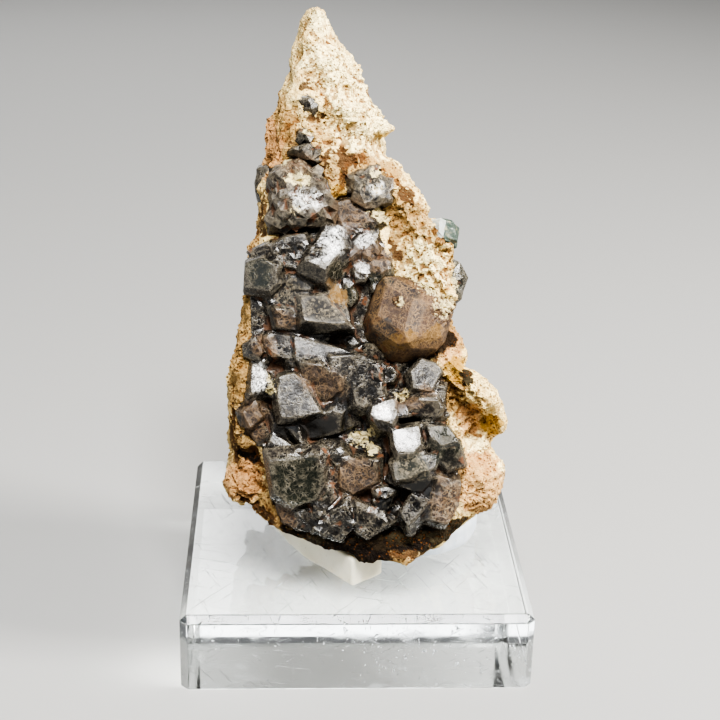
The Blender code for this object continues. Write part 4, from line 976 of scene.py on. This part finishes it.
# floor, lights and camera
studio = {
    "floorSize": 3.0,
    "floorColour": (0.27, 0.27, 0.265, 1.0),
    "skyColour": (0.86, 0.88, 0.92, 1.0),
    "skyStrength": 0.14,
    "lights": (
        # name, place, aim, width, height, watts, colour
        ("keyLight", (0.025, -0.19, 0.40), (0.0, 0.0, 0.05), 0.18, 0.075, 3.6, (1.0, 0.98, 0.95)),
        ("edgeLight", (0.018, -0.247, 0.366), (0.0, -0.0245, 0.011), 0.20, 0.035, 0.7, (1.0, 1.0, 1.0)),
        ("sideLight", (0.42, -0.06, 0.30), (0.0, 0.0, 0.05), 0.12, 0.12, 5.0, (1.0, 0.96, 0.90)),
        ("fillLight", (-0.45, -0.30, 0.25), (0.0, 0.0, 0.05), 0.40, 0.30, 0.6, (0.92, 0.96, 1.0)),
        ("backLight", (-0.10, 0.45, 0.35), (0.0, 0.0, 0.05), 0.40, 0.40, 1.6, (1.0, 1.0, 1.0)),
    ),
}

camera = {"place": (-0.010, -0.217, 0.132), "pitch": 22.9, "yaw": 2.8, "roll": 1.3, "lens": 80.25,
          "contrast": "AgX - High Contrast"}


def makeStudio():
    bpy.ops.mesh.primitive_plane_add(size=studio["floorSize"], location=(0.0, 0.0, -0.00005))
    floor = bpy.context.active_object
    floor.name = "floor"
    material, tree, shader, place = newMaterial("pale floor")
    shader.inputs["Base Color"].default_value = studio["floorColour"]
    shader.inputs["Roughness"].default_value = 0.9
    floor.data.materials.append(material)
    world = bpy.data.worlds.new("studio")
    bpy.context.scene.world = world
    world.use_nodes = True
    sky = world.node_tree.nodes["Background"]
    sky.inputs["Color"].default_value = studio["skyColour"]
    sky.inputs["Strength"].default_value = studio["skyStrength"]
    for name, place, aim, width, height, watts, colour in studio["lights"]:
        light = bpy.data.lights.new(name, "AREA")
        light.shape = "RECTANGLE"
        light.size = width
        light.size_y = height
        light.energy = watts
        light.color = colour
        lamp = bpy.data.objects.new(name, light)
        bpy.context.scene.collection.objects.link(lamp)
        lamp.location = place
        lamp.rotation_euler = (Vector(aim) - Vector(place)).to_track_quat("-Z", "Y").to_euler()


def makeCamera():
    bpy.context.scene.view_settings.look = camera["contrast"]
    pitch, yaw, roll = (math.radians(camera[key]) for key in ("pitch", "yaw", "roll"))
    forward = Vector((math.sin(yaw) * math.cos(pitch), math.cos(yaw) * math.cos(pitch), -math.sin(pitch)))
    level = forward.cross(Vector((0.0, 0.0, 1.0))).normalized()
    upright = level.cross(forward)
    right = level * math.cos(roll) + upright * math.sin(roll)
    top = upright * math.cos(roll) - level * math.sin(roll)
    lens = bpy.data.cameras.new("camera")
    lens.lens = camera["lens"]
    lens.sensor_width = 36.0
    lens.clip_start = 0.001
    view = bpy.data.objects.new("camera", lens)
    bpy.context.scene.collection.objects.link(view)
    turn = Matrix((right, top, -forward)).transposed().to_4x4()
    view.matrix_world = Matrix.Translation(camera["place"]) @ turn
    bpy.context.scene.camera = view


darkGarnet = makeGarnetMaterial("dark garnet")
brownGarnet = makeGarnetMaterial("brown garnet")
greyGarnet = makeGarnetMaterial("speckled garnet")
garnetSlots = {"roundGarnet": (brownGarnet, "brown_garnet"), "middleGarnet": (greyGarnet, "dark_garnet"),
               "upperGarnet": (greyGarnet, "dark_garnet")}
for garnetName, garnetValues in garnets.items():
    garnetMaterial, garnetSlot = garnetSlots.get(garnetName, (darkGarnet, "dark_garnet"))
    makeGarnet(garnetName, garnetValues, garnetMaterial, garnetSlot)
makeRock(makeRockMaterial())
makeGreenCrystal()
makePutty()
makeBlock()
makeStudio()
makeCamera()
